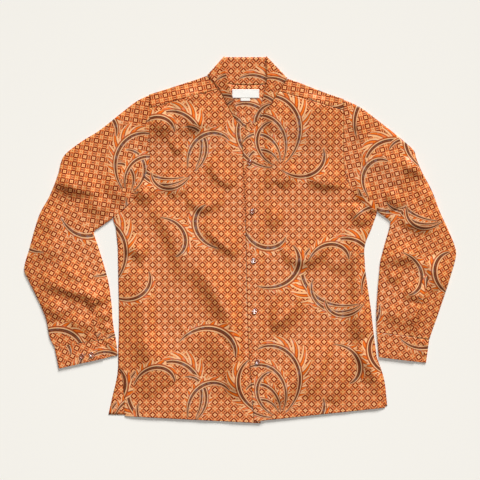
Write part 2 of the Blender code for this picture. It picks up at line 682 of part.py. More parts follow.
def build_buttons(collection, horn):
    mesh = button_mesh(collection, horn)
    reach = BUTTON_RADIUS * 0.8
    for i, (x, y) in enumerate(FRONT_BUTTONS):
        around = ((0, 0), (reach, 0), (-reach, 0), (0, reach), (0, -reach))
        seat = max(lap_mid(x + dx, y + dy) for dx, dy in around) + LOW_MID + SEAM_GAP
        button = bpy.data.objects.new(f"button_front_{i + 1}", mesh)
        button.location = (x * MM, y * MM, seat * MM)
        collection.objects.link(button)
    cuff_top = 2 * LAYER + WALL
    for i, (x, y) in enumerate(CUFF_BUTTONS):
        button = bpy.data.objects.new(f"button_cuff_{i + 1}", mesh)
        button.location = (x * MM, y * MM, (cuff_top + SEAM_GAP) * MM)
        collection.objects.link(button)


def build_label(name, sizes, collection, tape):
    x, y, width, height = sizes
    bpy.ops.mesh.primitive_cube_add(size=1.0, location=(x * MM, y * MM, TOP_MID * MM))
    obj = bpy.context.object
    obj.name = obj.data.name = name
    obj.data.transform(((width * MM, 0, 0, 0), (0, height * MM, 0, 0), (0, 0, WALL * MM, 0), (0, 0, 0, 1)))
    obj.data.materials.append(tape)
    for other in obj.users_collection:
        other.objects.unlink(obj)
    collection.objects.link(obj)


def main():
    clear_scene()
    shirt = new_collection("long_sleeve_shirt")
    cloth = finish_of("printed_cloth", CLOTH_COLOUR, 0.55)
    lining_side = finish_of("cloth_inside", INSIDE_COLOUR, 0.6)
    horn = finish_of("button_horn", BUTTON_COLOUR, 0.2)
    tape = finish_of("label_tape", LABEL_COLOUR, 0.6)
    build_back(shirt, lining_side)
    build_yoke(shirt, cloth)
    build_fronts(shirt, cloth)
    build_sleeves(shirt, cloth)
    build_cuffs(shirt, cloth)
    build_collar(shirt, cloth)
    build_buttons(shirt, horn)
    build_label("label", LABEL, shirt, tape)
    build_label("size_tab", SIZE_TAB, shirt, tape)


main()
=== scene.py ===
"""Long-sleeve shirt in printed cloth, buttoned and laid flat on its back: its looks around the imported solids.

Lengths in the tables are in millimetres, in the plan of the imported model: x to the wearer's left, y to the
collar, z up from the table. "right" and "left" are the wearer's.
"""

import math

import bpy
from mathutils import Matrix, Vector, noise


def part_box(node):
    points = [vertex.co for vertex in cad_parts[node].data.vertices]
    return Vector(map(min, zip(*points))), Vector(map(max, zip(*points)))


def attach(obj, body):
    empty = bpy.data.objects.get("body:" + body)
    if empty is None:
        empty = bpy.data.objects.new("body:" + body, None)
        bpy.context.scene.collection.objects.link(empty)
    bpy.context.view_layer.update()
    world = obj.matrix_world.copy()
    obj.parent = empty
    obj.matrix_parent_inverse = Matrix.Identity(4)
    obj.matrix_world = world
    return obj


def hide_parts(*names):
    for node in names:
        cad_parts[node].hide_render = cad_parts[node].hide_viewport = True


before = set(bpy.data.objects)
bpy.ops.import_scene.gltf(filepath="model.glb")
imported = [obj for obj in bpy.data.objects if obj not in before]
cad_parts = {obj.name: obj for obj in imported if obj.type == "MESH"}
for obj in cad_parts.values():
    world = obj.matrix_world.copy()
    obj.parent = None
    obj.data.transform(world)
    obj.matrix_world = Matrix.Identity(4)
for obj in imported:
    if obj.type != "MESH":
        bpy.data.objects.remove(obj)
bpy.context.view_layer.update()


# Table, light and camera: a plain pale board, a broad lamp past the collar and a small one by the camera, as
# for a catalogue picture of a garment laid flat and seen from straight above.
TABLE_HEX = "F5F2EB"
TABLE_SIDE = 9.0
TABLE_TOP = -0.0004
CAMERA_HEIGHT = 3.4
FIELD_WIDTH = 1.008
SENSOR = 36.0
ROOM_HEX = "FFFDF8"
ROOM_STRENGTH = 0.08


def linear(hex_code):
    """An sRGB hex colour as linear red, green, blue and alpha."""
    parts = [int(hex_code[i:i + 2], 16) / 255.0 for i in (0, 2, 4)]
    return (*[p / 12.92 if p <= 0.04045 else ((p + 0.055) / 1.055) ** 2.4 for p in parts], 1.0)


def add(tree, kind, feeds=(), **settings):
    """One node with its settings. feeds gives inputs in order, or by name or number: a socket or a value."""
    made = tree.nodes.new(kind)
    for name, value in settings.items():
        setattr(made, name, value)
    for key, feed in feeds.items() if isinstance(feeds, dict) else enumerate(feeds):
        if isinstance(feed, bpy.types.NodeSocket):
            tree.links.new(feed, made.inputs[key])
        elif feed is not None:
            made.inputs[key].default_value = feed
    return made


def new_material(name, looks):
    """A material, its node tree and its Principled shader, with the shader's values by input name."""
    material = bpy.data.materials.new(name)
    material.use_nodes = True
    principled = material.node_tree.nodes["Principled BSDF"]
    for key, value in looks.items():
        principled.inputs[key].default_value = value
    return material, material.node_tree, principled


# Matt paint takes the light evenly and shows no reflection of the shirt.
board = new_material("matt_painted_board", {
    "Base Color": linear(TABLE_HEX), "Roughness": 0.9, "Specular IOR Level": 0.1,
})[0]
table_mesh = bpy.data.meshes.new("table")
corners = ((-1, -1), (1, -1), (1, 1), (-1, 1))
table_mesh.from_pydata(
    [(x * TABLE_SIDE / 2, y * TABLE_SIDE / 2, TABLE_TOP) for x, y in corners], [], [(0, 1, 2, 3)],
)
table_mesh.materials.append(board)
table = bpy.data.objects.new("table", table_mesh)
bpy.context.scene.collection.objects.link(table)

world = bpy.data.worlds.new("studio")
world.use_nodes = True
world.node_tree.nodes["Background"].inputs["Color"].default_value = linear(ROOM_HEX)
world.node_tree.nodes["Background"].inputs["Strength"].default_value = ROOM_STRENGTH
bpy.context.scene.world = world
bpy.context.scene.view_settings.view_transform = "Standard"

LAMPS = (
    # name, kind, position in m, angle or side, strength
    ("window_lamp", "SUN", (0.65, 2.05, 1.12), 0.42, 4.22),
    ("camera_lamp", "AREA", (0.0, -0.08, 3.3), 0.3, 33.0),
)
for name, kind, place, size, strength in LAMPS:
    lamp = bpy.data.lights.new(name, kind)
    if kind == "SUN":
        lamp.angle = size
    else:
        lamp.size = size
    lamp.energy = strength
    held = bpy.data.objects.new(name, lamp)
    held.location = place
    held.rotation_euler = (-Vector(place)).to_track_quat("-Z", "Y").to_euler()
    bpy.context.scene.collection.objects.link(held)

lens = bpy.data.cameras.new("camera")
lens.sensor_width = SENSOR
lens.lens = SENSOR * CAMERA_HEIGHT / FIELD_WIDTH
camera = bpy.data.objects.new("camera", lens)
camera.location = (0.0, 0.0, CAMERA_HEIGHT)
bpy.context.scene.collection.objects.link(camera)
bpy.context.scene.camera = camera


# Printed cloth: a cotton and polyester shirting in plain weave, screen printed with a small diaper of
# diamonds and blossoms and, over it, large curled leaves with pale edges and barbs in orange and brown. Its
# smooth yarns give it a faint sheen.
CELL = 13.1
TILE = (372.0, 524.0)
THREAD_PITCH = 1.3

GROUND_HEX = "C65A26"
FADE_HEX = "D26C36"
DARK_HEX = "680600"
BAR_HEX = "741000"
PALE_HEX = "F4AC68"
PETAL_HEX = "F4A862"
EDGE_HEX = "E29660"
OCHRE_HEX = "B06A30"
SHEEN_HEX = "FFC090"
PALE_SHEEN_HEX = "FFFFFF"
DARK_SHEEN_HEX = "702414"

# The diaper, worked out step by step from u and v, the cloth's own coordinates in mm.
DIAPER_STEPS = (
    ("a", "DIVIDE", "u", CELL), ("b", "DIVIDE", "v", CELL),
    ("ra", "ROUND", "a"), ("rb", "ROUND", "b"),
    ("ax", "PINGPONG", "a", 0.5), ("ay", "PINGPONG", "b", 0.5),
    ("kind_sum", "ADD", "ra", "rb"), ("blossom", "FLOORED_MODULO", "kind_sum", 2.0),
    ("diamond", "SUBTRACT", 1.0, "blossom"),
    ("m", "ADD", "ax", "ay"), ("across", "MULTIPLY", "ax", "ay"),
    ("xx", "MULTIPLY", "ax", "ax"), ("rr", "MULTIPLY_ADD", "ay", "ay", "xx"),
    # frame of the diamond, its star and its centre
    ("frame_in", "COMPARE", "m", 0.47, 0.10), ("frame", "MULTIPLY", "frame_in", "diamond"),
    ("star_in", "LESS_THAN", "across", 0.020), ("star_end", "LESS_THAN", "m", 0.37),
    ("star_both", "MULTIPLY", "star_in", "star_end"), ("star", "MULTIPLY", "star_both", "diamond"),
    ("dot_in", "LESS_THAN", "rr", 0.008), ("dot", "MULTIPLY", "dot_in", "diamond"),
    # blossom of four petals and its eye
    ("petal_in", "LESS_THAN", "across", 0.024), ("petal_end", "LESS_THAN", "m", 0.47),
    ("petal_both", "MULTIPLY", "petal_in", "petal_end"), ("flower", "MULTIPLY", "petal_both", "blossom"),
    ("eye_in", "LESS_THAN", "rr", 0.012), ("eye", "MULTIPLY", "eye_in", "blossom"),
    # a short bar between two pale ones where four cells meet
    ("ca", "SUBTRACT", "a", 0.5), ("cb", "SUBTRACT", "b", 0.5),
    ("cra", "ROUND", "ca"), ("crb", "ROUND", "cb"),
    ("ex", "SUBTRACT", "ca", "cra"), ("ey", "SUBTRACT", "cb", "crb"),
    ("turn_sum", "ADD", "cra", "crb"), ("turn_mod", "FLOORED_MODULO", "turn_sum", 2.0),
    ("turn", "MULTIPLY_ADD", "turn_mod", -2.0, 1.0), ("ty", "MULTIPLY", "ey", "turn"),
    ("q", "ADD", "ex", "ty"), ("p", "SUBTRACT", "ex", "ty"),
    ("qa", "ABSOLUTE", "q"), ("pa", "ABSOLUTE", "p"),
    ("bar_in", "LESS_THAN", "qa", 0.095), ("bar_end", "LESS_THAN", "pa", 0.30),
    ("bar", "MULTIPLY", "bar_in", "bar_end"),
    ("side_in", "LESS_THAN", "qa", 0.30), ("side_bar", "MULTIPLY", "side_in", "bar_end"),
    ("dark_ink", "MAXIMUM", "frame", "bar"), ("pale_ink", "MAXIMUM", "star", "flower"),
)
DIAPER_PAINT = (
    ("side_bar", EDGE_HEX), ("bar", BAR_HEX), ("flower", PETAL_HEX), ("eye", OCHRE_HEX),
    ("star", PALE_HEX), ("dot", OCHRE_HEX), ("frame", DARK_HEX),
)

# Threads of the weave: real ones are 0.25 mm apart, drawn at 1.3 mm so that they show close up.
THREAD_STEPS = (
    ("wu", "MULTIPLY", "u", 2 * math.pi / THREAD_PITCH), ("wv", "MULTIPLY", "v", 2 * math.pi / THREAD_PITCH),
    ("su", "SINE", "wu"), ("sv", "SINE", "wv"), ("weave", "MULTIPLY", "su", "sv"),
)

# One curled leaf: s runs along it from 0 to 1, d across its rib from its inner edge at -1 to 1, where its row
# of barbs starts. It winds in on itself, to its reach times Curl at the tip. The barbs are Fringe ribs long.
# The colour ramp takes d as a share from 0 to 1, by RAMP_SCALE and RAMP_START.
LEAF_START = 3.0
BARB_PITCH = 11.0
RAMP_SCALE = 0.33
RAMP_START = 0.34
LEAF_STEPS = (
    ("fy", "MULTIPLY", "y", "Flip"), ("angle", "ARCTAN2", "fy", "x"),
    ("from_start", "ADD", "angle", LEAF_START), ("s", "DIVIDE", "from_start", "Sweep"),
    ("low", "MAXIMUM", "s", 0.0), ("sc", "MINIMUM", "low", 1.0),
    ("pull", "POWER", "Curl", "sc"), ("mid", "MULTIPLY", "Reach", "pull"),
    ("rest", "SUBTRACT", 1.0, "sc"), ("hump", "MULTIPLY", "sc", "rest"), ("hump4", "MULTIPLY", "hump", 4.0),
    ("full", "POWER", "hump4", 0.7), ("lens", "MULTIPLY_ADD", "full", 0.85, 0.15),
    ("wide", "MULTIPLY", "Width", "lens"), ("off", "SUBTRACT", "r", "mid"), ("d", "DIVIDE", "off", "wide"),
    ("arc", "MULTIPLY", "from_start", "mid"), ("rib_shade", "MULTIPLY_ADD", "d", RAMP_SCALE, RAMP_START),
    # barbs: c across one of them, e along it
    ("barbs", "DIVIDE", "arc", BARB_PITCH), ("slant", "MULTIPLY_ADD", "d", -0.36, "barbs"),
    ("w", "FRACT", "slant"), ("w_off", "SUBTRACT", "w", 0.5), ("w_far", "ABSOLUTE", "w_off"),
    ("c", "MULTIPLY", "w_far", 2.0),
    ("swell_in", "DIVIDE", "arc", 13.0), ("swell", "SINE", "swell_in"),
    ("uneven", "MULTIPLY_ADD", "swell", 0.25, 0.75),
    ("tall", "MULTIPLY", "uneven", "full"), ("length", "MULTIPLY", "tall", "Fringe"),
    ("out", "SUBTRACT", "d", 1.0), ("e", "DIVIDE", "out", "length"), ("left", "SUBTRACT", 1.0, "e"),
    ("left_low", "MAXIMUM", "left", 0.001), ("taper", "POWER", "left_low", 0.4),
    ("q", "DIVIDE", "c", "taper"), ("is_out", "GREATER_THAN", "d", 1.0),
    ("barb_side", "LESS_THAN", "q", 1.0), ("barb_end", "LESS_THAN", "e", 1.0),
    ("barb_in", "MULTIPLY", "barb_side", "barb_end"), ("barb", "MULTIPLY", "barb_in", "is_out"),
    ("barb_shade", "MULTIPLY_ADD", "q", 0.27, 0.72), ("gap", "SUBTRACT", "barb_shade", "rib_shade"),
    ("shade", "MULTIPLY_ADD", "is_out", "gap", "rib_shade"),
    ("above", "GREATER_THAN", "d", -1.0), ("not_out", "SUBTRACT", 1.0, "is_out"),
    ("rib", "MULTIPLY", "above", "not_out"),
    ("begun", "GREATER_THAN", "s", 0.0), ("ended", "LESS_THAN", "s", 1.0),
    ("both", "MAXIMUM", "rib", "barb"), ("span", "MULTIPLY", "begun", "ended"),
    ("mask", "MULTIPLY", "both", "span"),
)
LEAF_RAMP = (
    # place across the rib, from -1 at its inner edge to 1, and colour; then across half a barb from 1.15 to 2
    (-1.0, "5A1C0A"), (-0.82, "FAC896"), (-0.56, "B4602F"), (-0.42, "3C1206"), (-0.22, "7E4228"),
    (0.05, "6A3420"), (0.20, "300C04"), (0.36, "FCCC9A"), (0.56, "D0824C"), (0.76, "86300E"), (1.0, "C8500E"),
    (1.15, "F07A1C"), (1.42, "D04E0C"), (1.50, "5A1404"), (1.62, "FAC28C"), (1.98, "F2AE78"),
)
LEAF_SIZES = ("Turn", "Flip", "Reach", "Curl", "Sweep", "Width", "Fringe")

# One leaf's colour and mask about its centre, as nodes that every leaf shares.
group = bpy.data.node_groups.new("curled_leaf", "ShaderNodeTree")
for socket in ("Cloth", "Centre"):
    group.interface.new_socket(socket, in_out="INPUT", socket_type="NodeSocketVector")
for socket in LEAF_SIZES:
    group.interface.new_socket(socket, in_out="INPUT", socket_type="NodeSocketFloat")
group.interface.new_socket("Colour", in_out="OUTPUT", socket_type="NodeSocketColor")
group.interface.new_socket("Mask", in_out="OUTPUT", socket_type="NodeSocketFloat")
given = add(group, "NodeGroupInput").outputs
away = add(group, "ShaderNodeVectorMath", [given["Cloth"], given["Centre"]], operation="SUBTRACT")
# half-drop repeat: each column of tiles starts half a tile lower than the one before
column = add(group, "ShaderNodeVectorMath", [away.outputs[0], (1.0 / TILE[0], 0.0, 0.0)],
             operation="DOT_PRODUCT")
number = add(group, "ShaderNodeMath", [column.outputs["Value"]], operation="ROUND")
drop = add(group, "ShaderNodeMath", [number.outputs[0], TILE[1] / 2], operation="MULTIPLY")
drop_by = add(group, "ShaderNodeCombineXYZ", [0.0, drop.outputs[0], 0.0])
dropped = add(group, "ShaderNodeVectorMath", [away.outputs[0], drop_by.outputs[0]], operation="ADD")
limit = (TILE[0] / 2, TILE[1] / 2, 1.0)
near = add(group, "ShaderNodeVectorMath", [dropped.outputs[0], limit, tuple(-v for v in limit)],
           operation="WRAP")
turned = add(group, "ShaderNodeVectorRotate", {"Vector": near.outputs[0], "Angle": given["Turn"]},
             rotation_type="Z_AXIS", invert=True)
length = add(group, "ShaderNodeVectorMath", [near.outputs[0]], operation="LENGTH")
parts = add(group, "ShaderNodeSeparateXYZ", [turned.outputs[0]])
value = {"x": parts.outputs[0], "y": parts.outputs[1], "r": length.outputs["Value"]}
value.update({socket: given[socket] for socket in LEAF_SIZES})
for step, operation, *feeds in LEAF_STEPS:
    made = add(group, "ShaderNodeMath", [value.get(f, f) for f in feeds], operation=operation)
    value[step] = made.outputs[0]
colours = add(group, "ShaderNodeValToRGB", [value["shade"]])
stops = colours.color_ramp.elements
for i, (place, hex_code) in enumerate(LEAF_RAMP):
    stop = stops[i] if i < 2 else stops.new(1.0)
    stop.position = place * RAMP_SCALE + RAMP_START
    stop.color = linear(hex_code)
add(group, "NodeGroupOutput", [colours.outputs[0], value["mask"]])

SPRAYS = (
    # x and y of the foot; then each leaf's heading in degrees, turn to the left 1 or right -1, reach, curl,
    # sweep, width and fringe
    (88, 160, (18, 1, 104, 0.40, 3, 7, 4), (40, 1, 84, 0.42, 2.7, 6, 2.2), (62, 1, 64, 0.42, 2.7, 6, 1.8),
     (86, 1, 46, 0.42, 2.8, 5.4, 1.5), (204, -1, 92, 0.46, 2.6, 7, 3.8), (182, -1, 66, 0.44, 2.6, 6, 2),
     (296, 1, 70, 0.44, 2.7, 7, 1.9)),
    (268, 404, (222, -1, 110, 0.42, 2.8, 7, 4), (244, -1, 82, 0.42, 2.7, 6, 2.2),
     (266, -1, 58, 0.42, 2.7, 6, 1.8), (34, 1, 96, 0.44, 2.7, 7, 3.8), (12, 1, 68, 0.42, 2.7, 6, 2),
     (124, -1, 74, 0.44, 2.7, 7, 1.9)),
    (240, 36, (76, -1, 88, 0.42, 2.7, 8.4, 1.8)),
    (338, 246, (196, -1, 70, 0.42, 2.6, 8, 2.2)),
    (34, 438, (318, 1, 82, 0.42, 2.7, 8.4, 1.8)),
    (150, 474, (96, -1, 62, 0.40, 2.8, 7.4, 2.2)),
    (14, 52, (250, 1, 70, 0.42, 2.7, 8, 1.8)),
    (196, 306, (24, -1, 64, 0.40, 2.8, 7.4, 2)),
)

# Screen-printed shirting: the inks lie in the yarns and leave the weave's fine grain and soft shine.
printed_cloth, tree, shader = new_material("screen_printed_shirting", {"Roughness": 0.40, "IOR": 1.5})
cloth_uv = add(tree, "ShaderNodeUVMap", uv_map="cloth")
to_mm = add(tree, "ShaderNodeVectorMath", {0: cloth_uv.outputs[0], "Scale": 1000.0}, operation="SCALE")
flat = to_mm.outputs[0]
parts = add(tree, "ShaderNodeSeparateXYZ", [flat])
value = {"u": parts.outputs[0], "v": parts.outputs[1]}
for step, operation, *feeds in DIAPER_STEPS + THREAD_STEPS:
    made = add(tree, "ShaderNodeMath", [value.get(f, f) for f in feeds], operation=operation)
    value[step] = made.outputs[0]
# Ink takes unevenly over the cloth, and wear pales it a little in patches.
patches = add(tree, "ShaderNodeTexNoise", {"Vector": flat, "Scale": 0.011, "Detail": 3.0})
layer = add(tree, "ShaderNodeMix", {0: patches.outputs["Fac"], 6: linear(GROUND_HEX), 7: linear(FADE_HEX)},
            data_type="RGBA")
for mask, hex_code in DIAPER_PAINT:
    layer = add(tree, "ShaderNodeMix", {0: value[mask], 6: layer.outputs[2], 7: linear(hex_code)},
                data_type="RGBA")
leaves = [(spray[0], spray[1], *leaf) for spray in SPRAYS for leaf in spray[2:]]
for x, y, heading, side, reach, curl, sweep, width, fringe in leaves:
    aim = math.radians(heading)
    centre = (x - side * reach * math.sin(aim), y + side * reach * math.cos(aim), 0.0)
    turn = aim + side * math.pi / 2
    sizes = dict(zip(LEAF_SIZES, (turn, side, reach, curl, sweep, width, fringe)))
    leaf = add(tree, "ShaderNodeGroup", {"Cloth": flat, "Centre": centre, **sizes}, node_tree=group)
    colour, mask = leaf.outputs["Colour"], leaf.outputs["Mask"]
    layer = add(tree, "ShaderNodeMix", {0: mask, 6: layer.outputs[2], 7: colour}, data_type="RGBA")
mottle = add(tree, "ShaderNodeTexNoise", {"Vector": flat, "Scale": 0.32, "Detail": 2.0})
tone = add(tree, "ShaderNodeMapRange", {0: mottle.outputs["Fac"], 3: 0.88, 4: 1.10})
toned = add(tree, "ShaderNodeVectorMath", {0: layer.outputs[2], "Scale": tone.outputs[0]}, operation="SCALE")
tree.links.new(toned.outputs[0], shader.inputs["Base Color"])
bump = add(tree, "ShaderNodeBump", {"Strength": 0.25, "Distance": 0.00006, "Height": value["weave"]})
tree.links.new(bump.outputs[0], shader.inputs["Normal"])
# The cloth's sheen comes through whitest where least ink lies on it, and the dark inks are matt.
sheen = add(tree, "ShaderNodeMix",
            {0: value["pale_ink"], 6: linear(SHEEN_HEX), 7: linear(PALE_SHEEN_HEX)}, data_type="RGBA")
sheen = add(tree, "ShaderNodeMix",
            {0: value["dark_ink"], 6: sheen.outputs[2], 7: linear(DARK_SHEEN_HEX)}, data_type="RGBA")
tree.links.new(sheen.outputs[2], shader.inputs["Specular Tint"])


# Back panel: one wide panel of the shirting that lies on the table, its hem turned up and stitched. Only
# its edges show beside the front's hem, and its inside through the neck.
MM = 0.001
WALL = 0.5
LOW_MID = WALL / 2
BACK_MID = 0.5
TOP_MID = 1.8
SEAM_GAP = 0.2
FINE = 6

ARMHOLE_SHARES = (0, 0.10, 0.17, 0.24, 0.31, 0.39, 0.47, 0.55, 0.63, 0.71, 0.79, 0.86, 0.93, 1)
YOKE_FRONT_ROW = 1
YOKE_BACK_ROW = 4
BODY_ROWS = 20
BACK_COLUMNS = 10
BACK_HEM_DIP = -8.0
BACK_WAVE = 0.2
KEYS_PER_MM = 50.0

ARMHOLE_RIGHT = (
    (-190.5, 304), (-189.6, 275), (-189.2, 241), (-189.4, 188.6), (-191.5, 159.2),
    (-197.2, 142.4), (-209, 108), (-227.2, 81), (-248.2, 63), (-266, 46.8),
)
ARMHOLE_LEFT = (
    (217.1, 294.6), (217.1, 260), (217.1, 188.6), (218.4, 157), (223, 138),
    (235.4, 103), (252, 83), (272, 69), (287.3, 60.5),
)
SIDE_RIGHT = (
    (-266, 46.8), (-261, 25.6), (-256.6, -13), (-255.4, -84), (-254.2, -145), (-254.2, -194),
    (-255.8, -237), (-255.8, -262), (-247, -290), (-243.6, -330), (-242, -370),
)
SIDE_LEFT = (
    (287.3, 60.5), (282, 41), (274, 19), (260.5, -11.5), (262.8, -61), (268.8, -104),
    (275, -145), (280.5, -194), (287, -245), (294.5, -270), (301, -300), (305, -352),
)
BACK_SIDE_RIGHT = SIDE_RIGHT[:8] + ((-258, -288), (-267, -325), (-276.4, -366.5))
BACK_SIDE_LEFT = SIDE_LEFT[:9] + ((296, -270), (304, -296), (309.3, -348.5))


def ease(t):
    """0 below 0, 1 above 1, smooth between."""
    t = max(0.0, min(1.0, t))
    return t * t * (3.0 - 2.0 * t)


def eased(t, span):
    """0 up to a span's start, 1 from its end, smooth between. The span is its start and its length."""
    return ease((t - span[0]) / span[1])


def mix(a, b, t):
    return tuple(p + (q - p) * t for p, q in zip(a, b))


def nudged(point, towards, distance):
    """A point in plan, moved towards another by a distance."""
    length = math.dist(point, towards)
    return mix(point, towards, distance / length) if length else point


def between(table, i, t):
    """The point at t of the way from row i to the next on the smooth curve through a table's rows."""
    before, after = table[max(0, i - 1)], table[min(len(table) - 1, i + 2)]
    return tuple(
        0.5 * (2 * q + (r - p) * t + (2 * p - 5 * q + 4 * r - s) * t * t + (3 * q - p - 3 * r + s) * t ** 3)
        for p, q, r, s in zip(before, table[i], table[i + 1], after)
    )


def along(table, share):
    """The point at a share of the length of the smooth curve through a table's rows."""
    lengths = [0.0]
    for a, b in zip(table, table[1:]):
        lengths.append(lengths[-1] + math.dist(a, b))
    target = max(0.0, min(1.0, share)) * lengths[-1]
    i = 0
    while i < len(table) - 2 and lengths[i + 1] < target:
        i += 1
    return between(table, i, (target - lengths[i]) / (lengths[i + 1] - lengths[i]))


def spread(points, count):
    """The smooth curve through points, with count steps in each stretch between two of them."""
    made = [between(points, i, n / count) for i in range(len(points) - 1) for n in range(count)]
    return [*made, points[-1]]


def refine(grid, down, across):
    """A grid of plan points made finer in both directions."""
    columns = list(zip(*[spread(row, across) for row in grid]))
    return [list(row) for row in zip(*[spread(column, down) for column in columns])]


def x_on(table, y):
    """x of a line that runs down the shirt, at height y, held at its ends."""
    if y >= table[0][1]:
        return table[0][0]
    for (xa, ya), (xb, yb) in zip(table, table[1:]):
        if y >= yb:
            return xb + (xa - xb) * (y - yb) / (ya - yb)
    return table[-1][0]


def point_at(table, y):
    return (x_on(table, y), y)


def ripple(x, y, seed, size=46.0):
    """Slow unevenness of cloth that was handled and laid down, from -1 to 1."""
    return noise.noise(Vector((x / size, y / (size * 1.3), seed))) + 0.5 * noise.noise(
        Vector((x / (0.42 * size), y / (0.5 * size), seed + 7.3))
    )


def cloth_piece(name, grids, grain, node, closed=False, offset=0.0, wall=WALL):
    """A thin cloth shell through grids of points in mm, with its weave's coordinates and its ride, in place of
    its solid.

    grain(g, i, r, c, x, y) gives the cloth's own coordinates in mm: grid g, the face's row i, and the row r,
    column c and plan point x, y of its corner. Points that round to one key become one.
    """
    points, faces, coords, index = [], [], [], {}

    def number(point):
        key = tuple(round(c * KEYS_PER_MM) for c in point)
        if key not in index:
            index[key] = len(points)
            points.append(tuple(c * MM for c in point))
        return index[key]

    for g, grid in enumerate(grids):
        rows = [[number(p) for p in row] for row in grid]
        columns = len(grid[0])
        for i in range(len(grid) - 1):
            for j in range(columns if closed else columns - 1):
                k = (j + 1) % columns
                corners = ((i, j), (i + 1, j), (i + 1, k), (i, k))
                ids = [rows[r][c] for r, c in corners]
                if len(set(ids)) < 4:
                    continue
                faces.append(ids)
                for r, c in corners:
                    x, y = grid[r][c][:2]
                    coords.extend(v * MM for v in grain(g, i, r, c, x, y))
    mesh = bpy.data.meshes.new(name)
    mesh.from_pydata(points, [], faces)
    mesh.uv_layers.new(name="cloth").data.foreach_set("uv", coords)
    mesh.shade_smooth()
    mesh.materials.append(printed_cloth)
    piece = bpy.data.objects.new(name, mesh)
    bpy.context.scene.collection.objects.link(piece)
    shell = piece.modifiers.new("thickness", "SOLIDIFY")
    shell.thickness = wall * MM
    shell.offset = offset
    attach(piece, "root")
    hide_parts(node)


def straight_grain(dx, dy, angle=0.0):
    """Cloth coordinates for a piece whose threads lie at an angle, in degrees, to the shirt's length."""
    c, s = math.cos(math.radians(angle)), math.sin(math.radians(angle))
    return lambda g, i, row, column, x, y: (c * x + s * y + dx, -s * x + c * y + dy)


def armhole_pair(k):
    """The armhole points at row k on both sides, just inside the seam."""
    right = along(ARMHOLE_RIGHT, ARMHOLE_SHARES[k])
    left = along(ARMHOLE_LEFT, ARMHOLE_SHARES[k])
    return nudged(right, left, SEAM_GAP / 2), nudged(left, right, SEAM_GAP / 2)


def back_plan():
    pairs = [armhole_pair(k) for k in range(YOKE_BACK_ROW, len(ARMHOLE_SHARES))]
    right_top, left_top = SIDE_RIGHT[0][1], SIDE_LEFT[0][1]
    for i in range(1, BODY_ROWS + 1):
        t = i / BODY_ROWS
        right_y = right_top + (BACK_SIDE_RIGHT[-1][1] - right_top) * t
        left_y = left_top + (BACK_SIDE_LEFT[-1][1] - left_top) * t
        pairs.append((point_at(BACK_SIDE_RIGHT, right_y), point_at(BACK_SIDE_LEFT, left_y)))
    rows = []
    for i, (right, left) in enumerate(pairs):
        dip = BACK_HEM_DIP * (i / (len(pairs) - 1)) ** 6
        row = []
        for j in range(BACK_COLUMNS + 1):
            x, y = mix(right, left, j / BACK_COLUMNS)
            row.append((x, y + dip * math.sin(math.pi * j / BACK_COLUMNS) - (SEAM_GAP if i == 0 else 0.0)))
        rows.append(row)
    return rows


back_grid = [
    [(x, y, BACK_MID + BACK_WAVE * ripple(x, y, seed=3.1)) for x, y in row]
    for row in refine(back_plan(), 3, 6)
]
cloth_piece("back_panel", [back_grid], straight_grain(40.0, 65.0), "back")


# Yoke: one piece of the shirting over the shoulders. It lies on the table behind the neck and folds forward
# at the shoulders, so that its seams to the fronts run some 30 mm below the folds.
SHOULDER_FOLD_RISE = 0.9
NECK_CORNER_GAP = 1.2
FOLD_STEPS = 8
STRIP_ROWS = 9
NECK_YOKE_POINT = 2
LOOSE_RISE = 1.3
LOOSE_WAVE = 0.75
LOWEST = -0.6
EDGE_FADE = 20.0
CENTRE_CALM = 24.0
CALM_SHARE = 0.25
SEAM_DIP = 0.35
SEAM_DIP_SPAN = (0.8, 0.2)
YOKE_LIFT = 0.25
YOKE_WAVE = 0.35
NECK_PULL_SPAN = (0.7, 0.3)
FOLD_LEAN = 0.7
FOLD_END_POWER = 0.6
FOLD_REACH = 3.0

NECK_RIGHT = (
    (-67.6, 344), (-57, 331.4), (-44.5, 316.7), (-33, 295.5), (-21.5, 271), (-9, 250.5),
    (4, 237),
)
NECK_LEFT = (
    (98.3, 337.7), (91, 324.5), (82.5, 311.4), (70, 292), (57, 272), (39, 252),
    (12.5, 230.5),
)
BACK_NECK = (
    (-67.6, 344), (-46, 333), (-18, 326.5), (14, 324.6), (46, 326), (76, 330.5),
    (98.3, 337.7),
)
SHOULDER_RIGHT = ((-190.5, 304), (-158, 314), (-124, 325), (-94, 334.5), (-67.6, 344))
SHOULDER_LEFT = ((217.1, 294.6), (190, 303.5), (158, 315.5), (128, 327.5), (98.3, 337.7))
LAP_EDGE = (
    (12.5, 230.5), (5, 214), (6.3, 167.6), (8.8, 115), (11.1, 60.5), (13.2, -42.4), (15.3, -149.5),
    (17.4, -200), (20.6, -256.6), (24.8, -315), (29, -381),
)
BUTTON_LINE = 15.0

